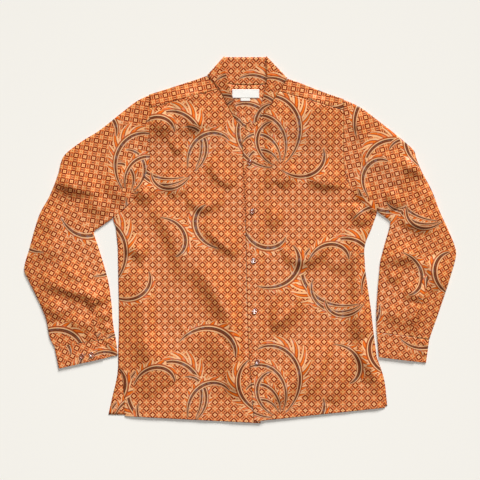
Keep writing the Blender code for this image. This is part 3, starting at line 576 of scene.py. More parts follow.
# Folds of the upper layer: the two ends of each one's steep face, its bow sideways, its height, and how far
# its soft side runs out to the left of its run and its steep face to the right.
BODY_FOLDS = (
    (-214, 204, -34, 228, 10, 9, 46, 36),
    (20, 232, 196, 192, 8, 8, 46, 36),
    (-180, 64, 24, -340, 16, 6, 40, 28),
    (-97, -61, 12, -257, 6, 7, 28, 18),
    (228, 60, 250, -300, 0, 8, 26, 18),
    (-174, -330, -194, -60, 0, 8, 26, 18),
    (-200, 81, -128, -90, 12, 5, 26, 14),
    (-82, 33, 6, -38, -12, 9, 30, 14),
    (-168, 125, -122, 90, -4, 6.9, 25, 14),
    (-114, 75, -34, 81, -17, 7.3, 25, 14),
    (-68, 167, -15, 108, -14, 6.9, 22, 13),
    (25, 127, 62, 103, -4, 6.4, 20, 13),
    (88, 107, 122, 150, -4, 6, 20, 13),
    (140, 121, 214, 111, -4, 7.7, 29, 14),
    (36, 13, 90, 59, -6, 7.7, 29, 14),
    (94, -47, 192, -3, -24, 8.6, 29, 17),
    (42, -197, 135, -103, -22, 9, 32, 18),
    (30, -158, 68, -94, -4, 6.9, 22, 10),
    (118, 172, -2, 214, -6, 6.9, 49, 21),
    (-92, -196, -18, -322, 10, 9, 49, 39),
    (-34, -300, 90, -344, -18, 7.3, 26, 17),
    (90, -345, 168, -215, -6, 7, 24, 16),
    (150, -335, 192, -215, -4, 6, 18, 13),
    (200, -345, 236, -230, -4, 6.5, 20, 14),
    (234, -228, 292, -322, 5, 7.3, 25, 17),
    (-244, -20, -204, -44, 3, 7.3, 20, 13),
    (-228, 104, -192, 74, 2, 9, 22, 17),
    (228, 70, 250, 26, 2, 9, 19, 14),
    (238, 104, 274, 54, 3, 9, 19, 14),
    (-190, 236, -150, 221, 4, 6, 25, 17),
    (-135, 270, -76, 302, 3, 6, 22, 14),
    (-105, 227, -74, 239, 0, 5.2, 16, 13),
    (-140, 180, -116, 190, 0, 4.7, 19, 13),
    (196, -70, 262, -12, -8, 5.6, 32, 21),
    (216, -130, 240, -210, 4, 5.2, 29, 21),
    (-222, -210, -168, -316, 8, 6.4, 30, 23),
    (110, 246, 190, 268, 4, 5.6, 29, 18),
)
BODY_CREASES = (
    (-180, 108, -118, 74, 5, 1, 4, 5),
    (-84, 24, -6, -34, 9, -1.2, 6, 5),
    (-222, -20, -190, -130, 8, 1, 5, 4),
    (-150, -150, -96, -240, 7, 1.1, 5, 5),
    (-60, -190, 6, -290, 8, -1.2, 6, 5),
    (-96, 236, -42, 206, 5, -1.2, 5, 6),
    (262, 78, 190, 76, -5, -1.6, 4, 5),
    (240, 110, 164, 116, -4, 1.3, 4, 5),
    (232, 10, 170, -58, -8, -1.3, 5, 5),
    (128, -128, 70, -168, -9, -1.3, 5, 6),
    (210, -90, 184, -190, -6, 1.1, 5, 5),
    (122, -210, 84, -280, -6, 1.2, 5, 4),
    (262, -262, 240, -340, -5, -1.2, 5, 6),
    (80, 204, 44, 190, -5, -1.2, 5, 5),
    (-40, 190, -12, 178, 3, 1.2, 4, 4),
)


def fold_height(folds, x, y):
    """Height that folds add at a point of the upper layer. One with a height below 0 is a trough."""
    total = 0.0
    for x0, y0, x1, y1, bow, height, soft, steep in folds:
        run_x, run_y = x1 - x0, y1 - y0
        square = run_x * run_x + run_y * run_y
        t = ((x - x0) * run_x + (y - y0) * run_y) / square
        if not 0.0 < t < 1.0:
            continue
        aside = ((y - y0) * run_x - (x - x0) * run_y) / math.sqrt(square) - bow * 4.0 * t * (1.0 - t)
        aside -= FOLD_LEAN * steep
        aside /= soft if aside > 0.0 else steep
        if abs(aside) < FOLD_REACH:
            total += height * math.sin(math.pi * t) ** FOLD_END_POWER * math.exp(-aside * aside)
    return total


def shoulder_y(x):
    """y of the shoulder folds at x."""
    line = SHOULDER_RIGHT if x < 15.0 else SHOULDER_LEFT[::-1]
    for (xa, ya), (xb, yb) in zip(line, line[1:]):
        if x <= xb:
            return ya + (yb - ya) * max(0.0, (x - xa) / (xb - xa))
    return line[-1][1]


def body_mid(x, y):
    """Height of the middle of the wall of the upper layer on the body."""
    fade = ease((shoulder_y(x) - y) / EDGE_FADE)
    if y < SIDE_RIGHT[0][1]:
        fade *= ease((x - x_on(SIDE_RIGHT, y)) / EDGE_FADE)
    if y < SIDE_LEFT[0][1]:
        fade *= ease((x_on(SIDE_LEFT, y) - x) / EDGE_FADE)
    lap = x_on(LAP_EDGE[1:], y) + BUTTON_LINE
    calm = ease((abs(x - lap) - CENTRE_CALM) / CENTRE_CALM)
    crease_share = CALM_SHARE + (1.0 - CALM_SHARE) * calm
    rise = calm * fold_height(BODY_FOLDS, x, y) + crease_share * fold_height(BODY_CREASES, x, y)
    return TOP_MID + fade * max(LOWEST, LOOSE_RISE + rise + LOOSE_WAVE * ripple(x, y, seed=1.7))


def fold_arc(point, outward, low, high):
    """Points of the half circle that turns cloth over from height low to high at a fold."""
    radius = (high - low) / 2
    for i in range(1, FOLD_STEPS):
        angle = math.pi * i / FOLD_STEPS
        reach = radius * math.sin(angle)
        yield (
            point[0] + outward[0] * reach, point[1] + outward[1] * reach,
            low + radius * (1.0 - math.cos(angle)),
        )


def outward_of(line, i, side):
    """Unit normal in plan of a line of points at point i, to the left of its direction for side 1."""
    a, b = line[max(0, i - 1)], line[min(len(line) - 1, i + 1)]
    length = math.dist(a, b)
    return (-(b[1] - a[1]) / length * side, (b[0] - a[0]) / length * side)


def thin_out(points, count):
    """Straight stretches between points, with count steps in each."""
    made = [mix(a, b, n / count) for a, b in zip(points, points[1:]) for n in range(count)]
    return [*made, points[-1]]


def yoke_grids():
    low, high = LOW_MID + YOKE_LIFT, TOP_MID + SHOULDER_FOLD_RISE
    upper = list(SHOULDER_RIGHT) + list(BACK_NECK[1:-1]) + list(SHOULDER_LEFT[::-1])
    upper[0], upper[-1] = armhole_pair(0)
    for corner, before in ((len(SHOULDER_RIGHT) - 1, -1), (-len(SHOULDER_LEFT), 1)):
        upper[corner] = nudged(upper[corner], upper[corner + before], NECK_CORNER_GAP)
    fine_upper = thin_out(upper, FINE)
    pairs = thin_out([armhole_pair(k)[0] + armhole_pair(k)[1] for k in range(YOKE_BACK_ROW, -1, -1)], FINE)
    base_right, base_left = pairs[0][:2], pairs[0][2:]
    span = upper[-1][0] - upper[0][0]
    back_part = []
    for i, pair in enumerate(pairs):
        row = []
        for j, top in enumerate(fine_upper):
            base = mix(base_right, base_left, (top[0] - upper[0][0]) / span)
            x, y = mix(base, top, i / (len(pairs) - 1))
            if j in (0, len(fine_upper) - 1):
                x, y = pair[:2] if j == 0 else pair[2:]
            row.append((x, y, low))
        back_part.append(row)
    grids = [back_part]
    stretch = FINE * (len(SHOULDER_RIGHT) - 1) + 1
    sides = (
        (fine_upper[:stretch], ARMHOLE_RIGHT, NECK_RIGHT, 1),
        (fine_upper[-stretch:][::-1], ARMHOLE_LEFT, NECK_LEFT, -1),
    )
    for shoulder, armhole, neck, side in sides:
        seam_start = nudged(along(armhole, ARMHOLE_SHARES[YOKE_FRONT_ROW]), neck[NECK_YOKE_POINT], SEAM_GAP)
        seam_end = nudged(neck[NECK_YOKE_POINT], seam_start, SEAM_GAP)
        count = len(shoulder)
        strip = []
        for i, point in enumerate(shoulder):
            outward = outward_of(shoulder, i, side)
            front = mix(seam_start, seam_end, i / (count - 1))
            row = [(*point, low), *fold_arc(point, outward, low, high), (*point, high)]
            pull = eased(i / (count - 1), NECK_PULL_SPAN)
            for n in range(1, STRIP_ROWS + 1):
                t = n / STRIP_ROWS
                neck_point = along(neck[:NECK_YOKE_POINT + 1], t)
                target = mix(mix(point, front, t), nudged(neck_point, seam_start, SEAM_GAP), pull)
                z = high + (body_mid(*front) - high) * ease(t) - SEAM_DIP * eased(t, SEAM_DIP_SPAN)
                row.append((*target, z + YOKE_WAVE * ripple(*target, seed=5.5) * math.sin(math.pi * t)))
            strip.append(row)
        grids.append(strip)
    return grids


YOKE_GRAINS = [straight_grain(60.0, 20.0), *(straight_grain(90.0, 150.0, turn) for turn in (-34.0, 36.0))]


def yoke_grain(g, i, row, column, x, y):
    """The back part lies straight; the two strips' threads turn with the shoulder folds."""
    return YOKE_GRAINS[g](g, i, row, column, x, y)


cloth_piece("yoke_piece", yoke_grids(), yoke_grain, "yoke")


# Fronts: two panels of the shirting. The left one laps over the right one by about 28 mm and its edge is
# turned in and stitched, with no band. The loose cloth lies in soft folds that start at the armholes.
FRONT_COLUMNS = 14
FRONT_FINE = 8
FRONT_NECK_ROWS = 5
LAP_COLUMNS = (0.0, 15.0, 31.0, 45.0)
OVERLAP_RISE = 2.0
OVERLAP_REACH = 2.0
OVERLAP_FADE = 13.0
LAP_EDGE_DROP = 0.5
LAP_EDGE_WIDTH = 2.5
EDGE_ROLL = 0.8
EDGE_ROLL_WIDTH = 5.0

UNDER_EDGE = (
    (4, 237), (30, 214), (33, 167.6), (36, 115), (38, 60.5), (39, -42.4), (40, -149.5),
    (41, -200), (42, -256.6), (43, -315), (43, -384.5),
)


def rolled(x, y):
    """How far the upper layer turns down to the back panel at the side folds."""
    gap = math.inf
    if y < SIDE_RIGHT[0][1]:
        gap = min(gap, x - x_on(SIDE_RIGHT, y))
    if y < SIDE_LEFT[0][1]:
        gap = min(gap, x_on(SIDE_LEFT, y) - x)
    return EDGE_ROLL * (1.0 - ease(gap / EDGE_ROLL_WIDTH))


def right_height(x, y):
    return body_mid(x, y) - rolled(x, y)


def left_height(x, y):
    """The left front climbs over the right front's edge, and its own edge is a soft double fold."""
    climb = ease((x_on(UNDER_EDGE[1:], y) + OVERLAP_REACH + OVERLAP_FADE - x) / OVERLAP_FADE)
    edge = ease((x - x_on(LAP_EDGE[1:], y)) / LAP_EDGE_WIDTH)
    return right_height(x, y) + climb * OVERLAP_RISE - LAP_EDGE_DROP * (1.0 - edge)


def front_plan(side, armhole, inner, neck, lap_columns):
    """Plan points of a front: rows from the yoke seam to the hem, columns from its inner edge outwards."""
    pairs = []
    upper_rows = len(ARMHOLE_SHARES) - 1
    edge_top, armpit_y = inner[1][1], side[0][1]
    for k in range(YOKE_FRONT_ROW, upper_rows + 1):
        outer_point = along(armhole, ARMHOLE_SHARES[k])
        if k <= FRONT_NECK_ROWS:
            inner_point = neck[NECK_YOKE_POINT + k - YOKE_FRONT_ROW]
        else:
            t = (k - FRONT_NECK_ROWS - 1) / (upper_rows - FRONT_NECK_ROWS - 1)
            inner_point = point_at(inner, edge_top + (armpit_y - edge_top) * t)
        pairs.append((outer_point, inner_point))
    for i in range(1, BODY_ROWS + 1):
        t = i / BODY_ROWS
        outer_y = armpit_y + (side[-1][1] - armpit_y) * t
        inner_y = armpit_y + (inner[-1][1] - armpit_y) * t
        pairs.append((point_at(side, outer_y), point_at(inner, inner_y)))
    rows = []
    for i, (outer, edge) in enumerate(pairs):
        width = math.dist(outer, edge)
        start, end = nudged(edge, outer, SEAM_GAP / 2), nudged(outer, edge, SEAM_GAP / 2)
        shares = [d / width for d in lap_columns]
        rest = FRONT_COLUMNS - len(lap_columns)
        shares += [shares[-1] + (1.0 - shares[-1]) * (j + 1) / rest for j in range(rest)]
        rows.append([mix(start, end, share) for share in shares])
    rows[0] = [(x, y - SEAM_GAP) for x, y in rows[0]]
    return rows


FRONTS = (
    # name, side, armhole, inner edge, neck, its first columns, height, shift of the print, node, cut and area
    ("front_panel_right", SIDE_RIGHT, ARMHOLE_RIGHT, UNDER_EDGE, NECK_RIGHT, LAP_COLUMNS[:2], right_height,
     (0.0, 0.0), "front_right", (0.32, 0.70), 0.19),
    ("front_panel_left", SIDE_LEFT, ARMHOLE_LEFT, LAP_EDGE, NECK_LEFT, LAP_COLUMNS, left_height,
     (7.0, 4.0), "front_left", (0.31, 0.69), 0.17),
)
for name, side, armhole, inner, neck, columns, height, shift, node, flat_size, area in FRONTS:
    plan = refine(front_plan(side, armhole, inner, neck, columns), FRONT_FINE, FRONT_FINE)
    grid = [[(x, y, height(x, y)) for x, y in row] for row in plan]
    cloth_piece(name, [grid], straight_grain(*shift), node)


# Sleeves: each is one piece of the shirting, sewn to a tube down the underarm and set into the armhole. It
# lies bent, with a sharp tuck across it above the elbow, and its fullness lies in soft folds.
SLEEVE_EDGE = 3.4
SLEEVE_PUFF = 3.2
PUFF_POWER = 0.6
SWELL_POWER = 0.4
SLEEVE_WAVE = 0.6
LOOSE_SHARE = 0.25
CAP_BLEND = 0.12
THINNEST = 0.8
CUFF_PINCH = 0.86
CAP_SHARE = 0.4
CAP_END = 0.045
SLEEVE_STATIONS = 170
SLEEVE_COLUMNS = 66
UNDER_COLUMNS = 24

SLEEVE_RIGHT = (
    (-190.5, 304, -266, 46.8), (-217.8, 290.6, -268.8, 44.4), (-250.3, 265.7, -275, 39.8),
    (-294.4, 230.6, -284, 33.5), (-332.9, 206.6, -294, 26.5), (-365.2, 181.7, -304, 20),
    (-376, 163, -306.5, 14), (-382, 138, -304, 5), (-400, 92, -299.5, -8),
    (-419, 58, -294.5, -24), (-430, 26, -290, -38), (-441, -14, -284, -58),
    (-453, -60, -278, -80), (-443, -87, -274, -100), (-430.9, -112, -271.5, -119),
    (-415.4, -145, -268.6, -143), (-406.5, -170, -267.6, -164), (-400, -203, -264.5, -188),
    (-389.5, -225, -261, -204.4),
)
SLEEVE_LEFT = (
    (217.1, 294.6, 287.3, 60.5), (242.1, 284, 290.6, 58), (262, 272, 295, 54.6),
    (299, 243.6, 301.5, 50), (332.6, 216.9, 308.5, 45), (363.5, 189.5, 315, 39),
    (370, 172, 314.6, 31), (381, 145, 312.5, 21), (402.8, 103.1, 308, 6),
    (419.6, 59.4, 303.5, -9), (436.4, 22.7, 299, -26), (450.5, -12, 294.4, -45),
    (453, -36, 292.6, -64), (439.7, -84, 289.8, -94), (430, -114, 288.2, -116),
    (415.4, -157, 286.2, -148), (405, -186, 286.2, -172), (397.4, -208, 287, -193.6),
)
SLEEVE_FOLDS_RIGHT = (
    (-424, 116, -326, 92, 5, 14, 26, 15),
    (-336, 100, -292, 92, -2, 6, 17, 10),
    (-346, 190, -318, 106, -12, 6, 17, 12),
    (-330, 78, -288, 44, 2, 6, 22, 17),
    (-212, 168, -288, 104, -4, 6.9, 27, 17),
    (-270, 246, -236, 250, 0, 4.7, 14, 12),
    (-258, 102, -246, 60, 3, 6, 17, 12),
    (-380, -68, -326, -92, 0, 6.9, 22, 12),
    (-422, -91, -274, -130, -6, 9, 23, 13),
    (-322, -136, -278, -128, -2, 6.9, 17, 12),
    (-414, -136, -388, -172, 2, 7.3, 22, 16),
    (-366, -164, -344, -202, 5, 6, 17, 12),
    (-294, -184, -266, -200, 0, 7, 10, 7),
    (-302, -164, -266, -168, 0, 5.6, 14, 12),
    (-328, -160, -324, -214, 0, 5.6, 14, 12),
    (-436, 30, -380, 8, 4, 5.2, 26, 19),
    (-446, -30, -372, -44, 4, 5.2, 29, 22),
    (-300, 10, -286, -60, 3, 4.7, 18, 16),
)
SLEEVE_FOLDS_LEFT = (
    (345, 104, 366, 168, 4, 4, 24, 16),
    (334, 152, 420, 126, -2, 15, 26, 15),
    (408, 92, 346, 78, 0, 4, 22, 16),
    (370, 83, 420, 82, 2, 8.2, 22, 17),
    (250, 158, 340, 150, -3, 4, 26, 22),
    (282, 90, 250, 130, 0, 7.3, 17, 13),
    (258, 204, 262, 272, 0, 7.3, 18, 13),
    (218, 238, 258, 230, 0, 6, 17, 10),
    (300, 98, 320, 60, 4, 7.7, 18, 13),
    (334, 37, 404, 18, -4, 6.9, 20, 10),
    (298, -62, 378, -42, 6, 9, 22, 17),
    (380, -42, 403, -110, 6, 8.6, 22, 16),
    (306, -82, 334, -88, 0, 5.6, 14, 12),
    (340, -118, 388, -132, 0, 6, 22, 16),
    (359, -132, 346, -196, 0, 6.9, 17, 12),
    (300, -150, 330, -196, 4, 5.2, 18, 16),
    (420, 60, 360, 62, 0, 4.7, 26, 19),
    (446, -30, 420, -100, 4, 5.2, 22, 17),
)
# The station of the tuck, the threads' angle above it, and their angles below it at the elbow and cuff.
GRAIN_RIGHT = (0.385, -54, 18, 10)
GRAIN_LEFT = (0.365, 58, -20, -8)


def sleeve_plan(table, armhole, station, shares):
    """Plan points across the sleeve at a station: the armhole seam's shape fades into straight lines."""
    row = along(table, station)
    chord = (along(armhole, 0.0), along(armhole, 1.0))
    plan = []
    for share in shares:
        cap = 1.0 - ease(station / (CAP_END + CAP_SHARE * (1.0 - share)))
        x, y = mix(row[:2], row[2:], share)
        if cap > 0.0:
            seam, level = along(armhole, share), mix(*chord, share)
            x, y = x + cap * (seam[0] - level[0]), y + cap * (seam[1] - level[1])
        plan.append((x, y))
    return plan


def sleeve_top(folds, share, station, x, y):
    """Height of the sleeve's upper face: that of the body at the armhole, then its own."""
    loose = 1.0 - ease((station - CUFF_PINCH) / (1.0 - CUFF_PINCH))
    swell = math.sin(math.pi * share)
    own = SLEEVE_EDGE + loose * SLEEVE_PUFF * swell ** PUFF_POWER
    own += (LOOSE_SHARE + (1.0 - LOOSE_SHARE) * loose) * fold_height(folds, x, y) * swell ** SWELL_POWER
    own += SLEEVE_WAVE * ripple(x, y, seed=9.2) * min(1.0, 3.0 * swell)
    at_seam = 1.0 - ease(station / CAP_BLEND)
    if at_seam > 0.0:
        seam_height = body_mid(x, y) + WALL / 2 - SEAM_DIP
        own += (max(SLEEVE_EDGE, seam_height) - own) * at_seam * swell ** SWELL_POWER
    return max(own, SLEEVE_EDGE * THINNEST)


def sleeve_rings(table, armhole, folds, side):
    """Closed rings round the flattened sleeve, from the armhole to the cuff seam."""
    radius = SLEEVE_EDGE / 2
    shares = [i / SLEEVE_COLUMNS for i in range(SLEEVE_COLUMNS + 1)]
    plans = [
        sleeve_plan(table, armhole, i / SLEEVE_STATIONS, shares) for i in range(SLEEVE_STATIONS + 1)
    ]
    seam_normals = [outward_of(plans[0], j, side) for j in range(len(plans[0]))]
    plans[0] = [
        (x + nx * SEAM_GAP, y + ny * SEAM_GAP) for (x, y), (nx, ny) in zip(plans[0], seam_normals)
    ]
    seam_length = math.dist(plans[0][0], plans[0][1])
    seam_end = tuple((a - b) / seam_length for a, b in zip(plans[0][0], plans[0][1]))
    outer_line, inner_line = [plan[0] for plan in plans], [plan[-1] for plan in plans]
    rings = []
    for i, plan in enumerate(plans):
        station = i / SLEEVE_STATIONS
        away_out = outward_of(outer_line, i, side) if i else seam_end
        away_in = outward_of(inner_line, i, -side)
        edge_out = (plan[0][0] - away_out[0] * radius, plan[0][1] - away_out[1] * radius)
        edge_in = (plan[-1][0] - away_in[0] * radius, plan[-1][1] - away_in[1] * radius)
        line = [edge_out, *plan[1:-1], edge_in]
        ring = [(x, y, sleeve_top(folds, s, station, x, y)) for (x, y), s in zip(line, shares)]
        ring += reversed(list(fold_arc(edge_in, away_in, 0.0, ring[-1][2])))
        below = [line[round(n * SLEEVE_COLUMNS / UNDER_COLUMNS)] for n in range(UNDER_COLUMNS + 1)]
        ring += [(x, y, 0.0) for x, y in reversed(below)]
        ring += list(fold_arc(edge_out, away_out, 0.0, ring[0][2]))
        rings.append(ring)
    return rings


def sleeve_grain(table, facts, shift):
    """Cloth coordinates down a bent sleeve: straight above the tuck, then turning slowly below it."""
    tuck, above, elbow, cuff = facts
    turns, anchors = [], []
    u, v = shift
    last = None
    for i in range(SLEEVE_STATIONS + 1):
        station = i / SLEEVE_STATIONS
        row = along(table, station)
        middle = ((row[0] + row[2]) / 2, (row[1] + row[3]) / 2)
        share = max(0.0, (station - tuck) / (1.0 - tuck))
        angle = math.radians(above if station < tuck else elbow + (cuff - elbow) * share)
        if last:
            dx, dy = middle[0] - last[0], middle[1] - last[1]
            u += math.cos(angle) * dx + math.sin(angle) * dy
            v += -math.sin(angle) * dx + math.cos(angle) * dy
        last = middle
        turns.append(angle)
        anchors.append((u, v, middle))

    def grain(g, i, row, column, x, y):
        angle = turns[i]
        u0, v0, middle = anchors[i]
        dx, dy = x - middle[0], y - middle[1]
        c, s = math.cos(angle), math.sin(angle)
        return (u0 + c * dx + s * dy, v0 - s * dx + c * dy)

    return grain


SLEEVES = (
    # name, table, armhole, folds, side, facts and shift of the grain, node, cut and area
    ("sleeve_right_piece", SLEEVE_RIGHT, ARMHOLE_RIGHT, SLEEVE_FOLDS_RIGHT, -1, GRAIN_RIGHT, (30.0, 210.0),
     "sleeve_right", (0.42, 0.52), 0.152),
    ("sleeve_left_piece", SLEEVE_LEFT, ARMHOLE_LEFT, SLEEVE_FOLDS_LEFT, 1, GRAIN_LEFT, (215.0, 20.0),
     "sleeve_left", (0.41, 0.50), 0.140),
)
for name, table, armhole, folds, side, facts, shift, node, flat_size, area in SLEEVES:
    rings = sleeve_rings(table, armhole, folds, side)
    if side == 1:
        rings = [ring[::-1] for ring in rings]
    cloth_piece(name, [rings], sleeve_grain(table, facts, shift), node, closed=True,
                offset=-1.0)


# Sleeve plackets: a narrow folded strip over each sleeve's slit, stitched on above the cuff's opening. It is
# cut from the same shirting and lies on the sleeve's upper layer.
PLACKET_LIFT = 0.75
PLACKET_ROWS = 30
PLACKET_COLUMNS = 6
PLACKET_CROWN = 0.25
PLACKET_END = 0.997
PLACKETS = (
    # name, sleeve table, armhole, folds, node, share of the sleeve's width from and to, first station, cut
    ("placket_strip_right", SLEEVE_RIGHT, ARMHOLE_RIGHT, SLEEVE_FOLDS_RIGHT, "placket_right",
     0.71, 0.79, 0.82, (0.0115, 0.078), 0.00088),
    ("placket_strip_left", SLEEVE_LEFT, ARMHOLE_LEFT, SLEEVE_FOLDS_LEFT, "placket_left",
     0.31, 0.39, 0.73, (0.0130, 0.115), 0.00144),
)
for name, table, armhole, folds, node, share_from, share_to, first, flat_size, area in PLACKETS:
    width = share_to - share_from
    shares = [share_from + width * (n / PLACKET_COLUMNS) for n in range(PLACKET_COLUMNS + 1)]
    grid = []
    for i in range(PLACKET_ROWS + 1):
        station = first + (PLACKET_END - first) * i / PLACKET_ROWS
        row = []
        for n, share in enumerate(shares):
            x, y = sleeve_plan(table, armhole, station, [share])[0]
            across = math.sin(math.pi * n / PLACKET_COLUMNS)
            lift = PLACKET_LIFT + PLACKET_CROWN * across ** 0.5
            row.append((x, y, sleeve_top(folds, share, station, x, y) + lift))
        grid.append(row)
    cloth_piece(name, [grid], straight_grain(11.0, 160.0, 14.0), node)


# Cuffs: barrel cuffs of two layers with interlining, sewn to the sleeve's end and topstitched round the edge.
# Each wraps the wrist's opening flat, with its buttoned end on top.
CUFF_WALL = 1.0
CUFF_LOW = 0.5
CUFF_LAYER = 1.3
CUFF_END_SHARE = 0.76
CUFF_LAP = 24.0
CUFF_ROWS = 14
CUFF_STEPS = 30
UNDERLAP_STEPS = 20
CUFF_RIM = 0.02
CUFF_PUFF = 0.30
PUFF_RISE = 2.0
PUFF_EDGE = 0.08
CUFF_WAVE = 0.12
CUFF_RIGHT = ((-380.5, -270), (-256.6, -242))
CUFF_LEFT = ((390.5, -258), (291.4, -246))
CUFF_SEAM_GAP = 0.35
# The buttoned cuff bunches where its underlap shows.
CUFF_FOLDS = (
    (-287, -206, -267, -238, 1, 2.8, 6, 4),
    (-277, -205, -262, -226, 1, 2.6, 5, 4),
    (374, -212, 392, -226, 1, 2.6, 5, 4),
    (372, -230, 391, -246, 1, 2.8, 6, 4),
)


def cuff_path(outer, inner, t):
    """The cuff's wrap at one row: overlapping end, outer fold, under the wrist, inner fold, underlap."""
    width = math.dist(outer, inner)
    aside = tuple((o - n) / width for o, n in zip(outer, inner))
    low, mid, high = CUFF_LOW, CUFF_LOW + CUFF_LAYER, CUFF_LOW + 2 * CUFF_LAYER
    wide, tight = (high - low) / 2 + CUFF_LOW, (mid - low) / 2 + CUFF_LOW
    outer_turn, inner_turn = nudged(outer, inner, wide), nudged(inner, outer, tight)
    end = mix(outer, inner, CUFF_END_SHARE)
    under_end = nudged(end, outer, CUFF_LAP)
    path = []
    for j in range(CUFF_STEPS + 1):
        x, y = mix(end, outer_turn, j / CUFF_STEPS)
        swell = math.sin(math.pi * min(1.0, PUFF_EDGE + (1.0 - 2 * PUFF_EDGE) * t)) ** 0.5
        puff = CUFF_PUFF * (1.0 - math.exp(-j / PUFF_RISE)) * swell
        path.append((x, y, high + puff + CUFF_WAVE * ripple(x, y, seed=12.6, size=30.0)))
    path += [(x, y, z) for x, y, z in fold_arc(outer_turn, aside, low, high)][::-1]
    path += [(*mix(outer_turn, inner_turn, j / CUFF_STEPS), low) for j in range(CUFF_STEPS + 1)]
    path += list(fold_arc(inner_turn, (-aside[0], -aside[1]), low, mid))
    for j in range(UNDERLAP_STEPS + 1):
        x, y = mix(inner_turn, under_end, j / UNDERLAP_STEPS)
        path.append((x, y, mid + fold_height(CUFF_FOLDS, x, y)))
    return path


CUFFS = (
    # name, sleeve table, free edge, node, threads' angle, shift of the print and cut
    ("cuff_band_right", SLEEVE_RIGHT, CUFF_RIGHT, "cuff_right", 16.0, (25.0, 150.0), (0.245, 0.052)),
    ("cuff_band_left", SLEEVE_LEFT, CUFF_LEFT, "cuff_left", -9.0, (102.0, 40.0), (0.225, 0.052)),
)
cuff_grids = {}
for name, table, free, node, angle, shift, flat_size in CUFFS:
    seam = table[-1][:2], table[-1][2:]
    seam_out, seam_in = (nudged(a, b, CUFF_SEAM_GAP) for a, b in zip(seam, free))
    outer, inner = (seam_out, free[0]), (seam_in, free[1])
    if node == "cuff_left":
        outer, inner = inner, outer
    shares = [0.0, CUFF_RIM, *(i / CUFF_ROWS for i in range(1, CUFF_ROWS)), 1.0 - CUFF_RIM, 1.0]
    grid = [cuff_path(mix(*outer, t), mix(*inner, t), t) for t in shares]
    cuff_grids[node] = grid
    cloth_piece(name, [grid], straight_grain(*shift, angle), node, wall=CUFF_WALL)


# Collar: one straight band of two layers with interlining, sewn round the neck. Its back lies on the table
# and its two ends fold forward over the shoulders, meeting at the top of the lap.
COLLAR_WALL = 1.0
COLLAR_LOW = 0.5
COLLAR_FOLD_RISE = 2.6
COLLAR_LIFT = 5.5
COLLAR_ACROSS = 14
COLLAR_ALONG = 6
COLLAR_GAP = 0.45
COLLAR_WAVE = 0.35
COLLAR_EASE = 0.55
WING_TILT = 8.0
COLLAR_SHIFT = (45.0, -40.0)
COLLAR_EDGE_RIGHT = (
    (-31.9, 383.9), (-31, 365), (-28, 342), (-21.5, 318), (-14.5, 296), (-6.5, 272),
    (7.5, 246),
)
COLLAR_EDGE_LEFT = (
    (54.2, 383.9), (56, 366), (57, 344), (54, 322), (49, 300), (39.5, 274),
    (12.5, 243.5),
)


def collar_wing(neck, edge):
    """Rows of the part of the collar that lies on top, from its front end to its fold."""
    neck_line, edge_line = spread(neck, COLLAR_ALONG), spread(edge, COLLAR_ALONG)
    rows = []
    last = len(neck_line) - 1
    for i in range(last, -1, -1):
        foot = nudged(neck_line[i], edge_line[i], COLLAR_GAP)
        lift = ease((i / COLLAR_ALONG + 1) / len(neck))
        row = []
        for n in range(COLLAR_ACROSS + 1):
            t = n / COLLAR_ACROSS
            x, y = mix(foot, edge_line[i], t)
            free = COLLAR_LIFT * math.sin(math.pi * i / last) * t
            base = TOP_MID + COLLAR_FOLD_RISE * (1.0 - COLLAR_EASE * lift)
            wave = COLLAR_WAVE * ripple(x, y, seed=15.4, size=26.0) * math.sin(math.pi * i / last) * t
            row.append((x, y, base + free + wave))
        rows.append(row)
    return rows


def collar_back():
    """Rows of the collar's back, which lies on the table behind the neck seam."""
    start, end = COLLAR_EDGE_RIGHT[0], COLLAR_EDGE_LEFT[0]
    seam_line = spread(BACK_NECK, COLLAR_ALONG)
    rows = []
    for i, seam in enumerate(seam_line):
        edge = mix(start, end, i / (len(seam_line) - 1))
        foot = nudged(seam, edge, COLLAR_GAP)
        rows.append([(*mix(foot, edge, n / COLLAR_ACROSS), COLLAR_LOW) for n in range(COLLAR_ACROSS + 1)])
    return rows


def collar_band():
    right = collar_wing(NECK_RIGHT, COLLAR_EDGE_RIGHT)
    left = collar_wing(NECK_LEFT, COLLAR_EDGE_LEFT)
    band = list(right)
    for fold_row, forward in ((right[-1], True), (left[-1], False)):
        outward = outward_of([fold_row[0][:2], fold_row[-1][:2]], 0, 1 if forward else -1)
        arcs = [list(fold_arc(p[:2], outward, COLLAR_LOW, p[2])) for p in fold_row]
        turned = [[arc[m] for arc in arcs] for m in range(FOLD_STEPS - 1)]
        band += turned[::-1] + collar_back() if forward else turned
    return band + left[::-1]


COLLAR_GRAINS = [straight_grain(*COLLAR_SHIFT, angle) for angle in (WING_TILT, 0.0, -WING_TILT)]
collar_grid = collar_band()
wing_rows = len(spread(NECK_RIGHT, COLLAR_ALONG))


def collar_grain(g, i, row, column, x, y):
    """The threads lie straight in the back and a little aslant in each wing."""
    part = 0 if i < wing_rows else 2 if i >= len(collar_grid) - 1 - wing_rows else 1
    return COLLAR_GRAINS[part](g, i, row, column, x, y)


cloth_piece("collar_band", [collar_grid], collar_grain, "collar", wall=COLLAR_WALL)


# Buttons: cast polyester in a mottled amber brown, turned with a raised rim and four holes, polished, and
# sewn on with a cross of brown thread. Five close the front and two the right cuff.
BUTTON_RADIUS = 5.6
BUTTON_HEIGHT = 2.2
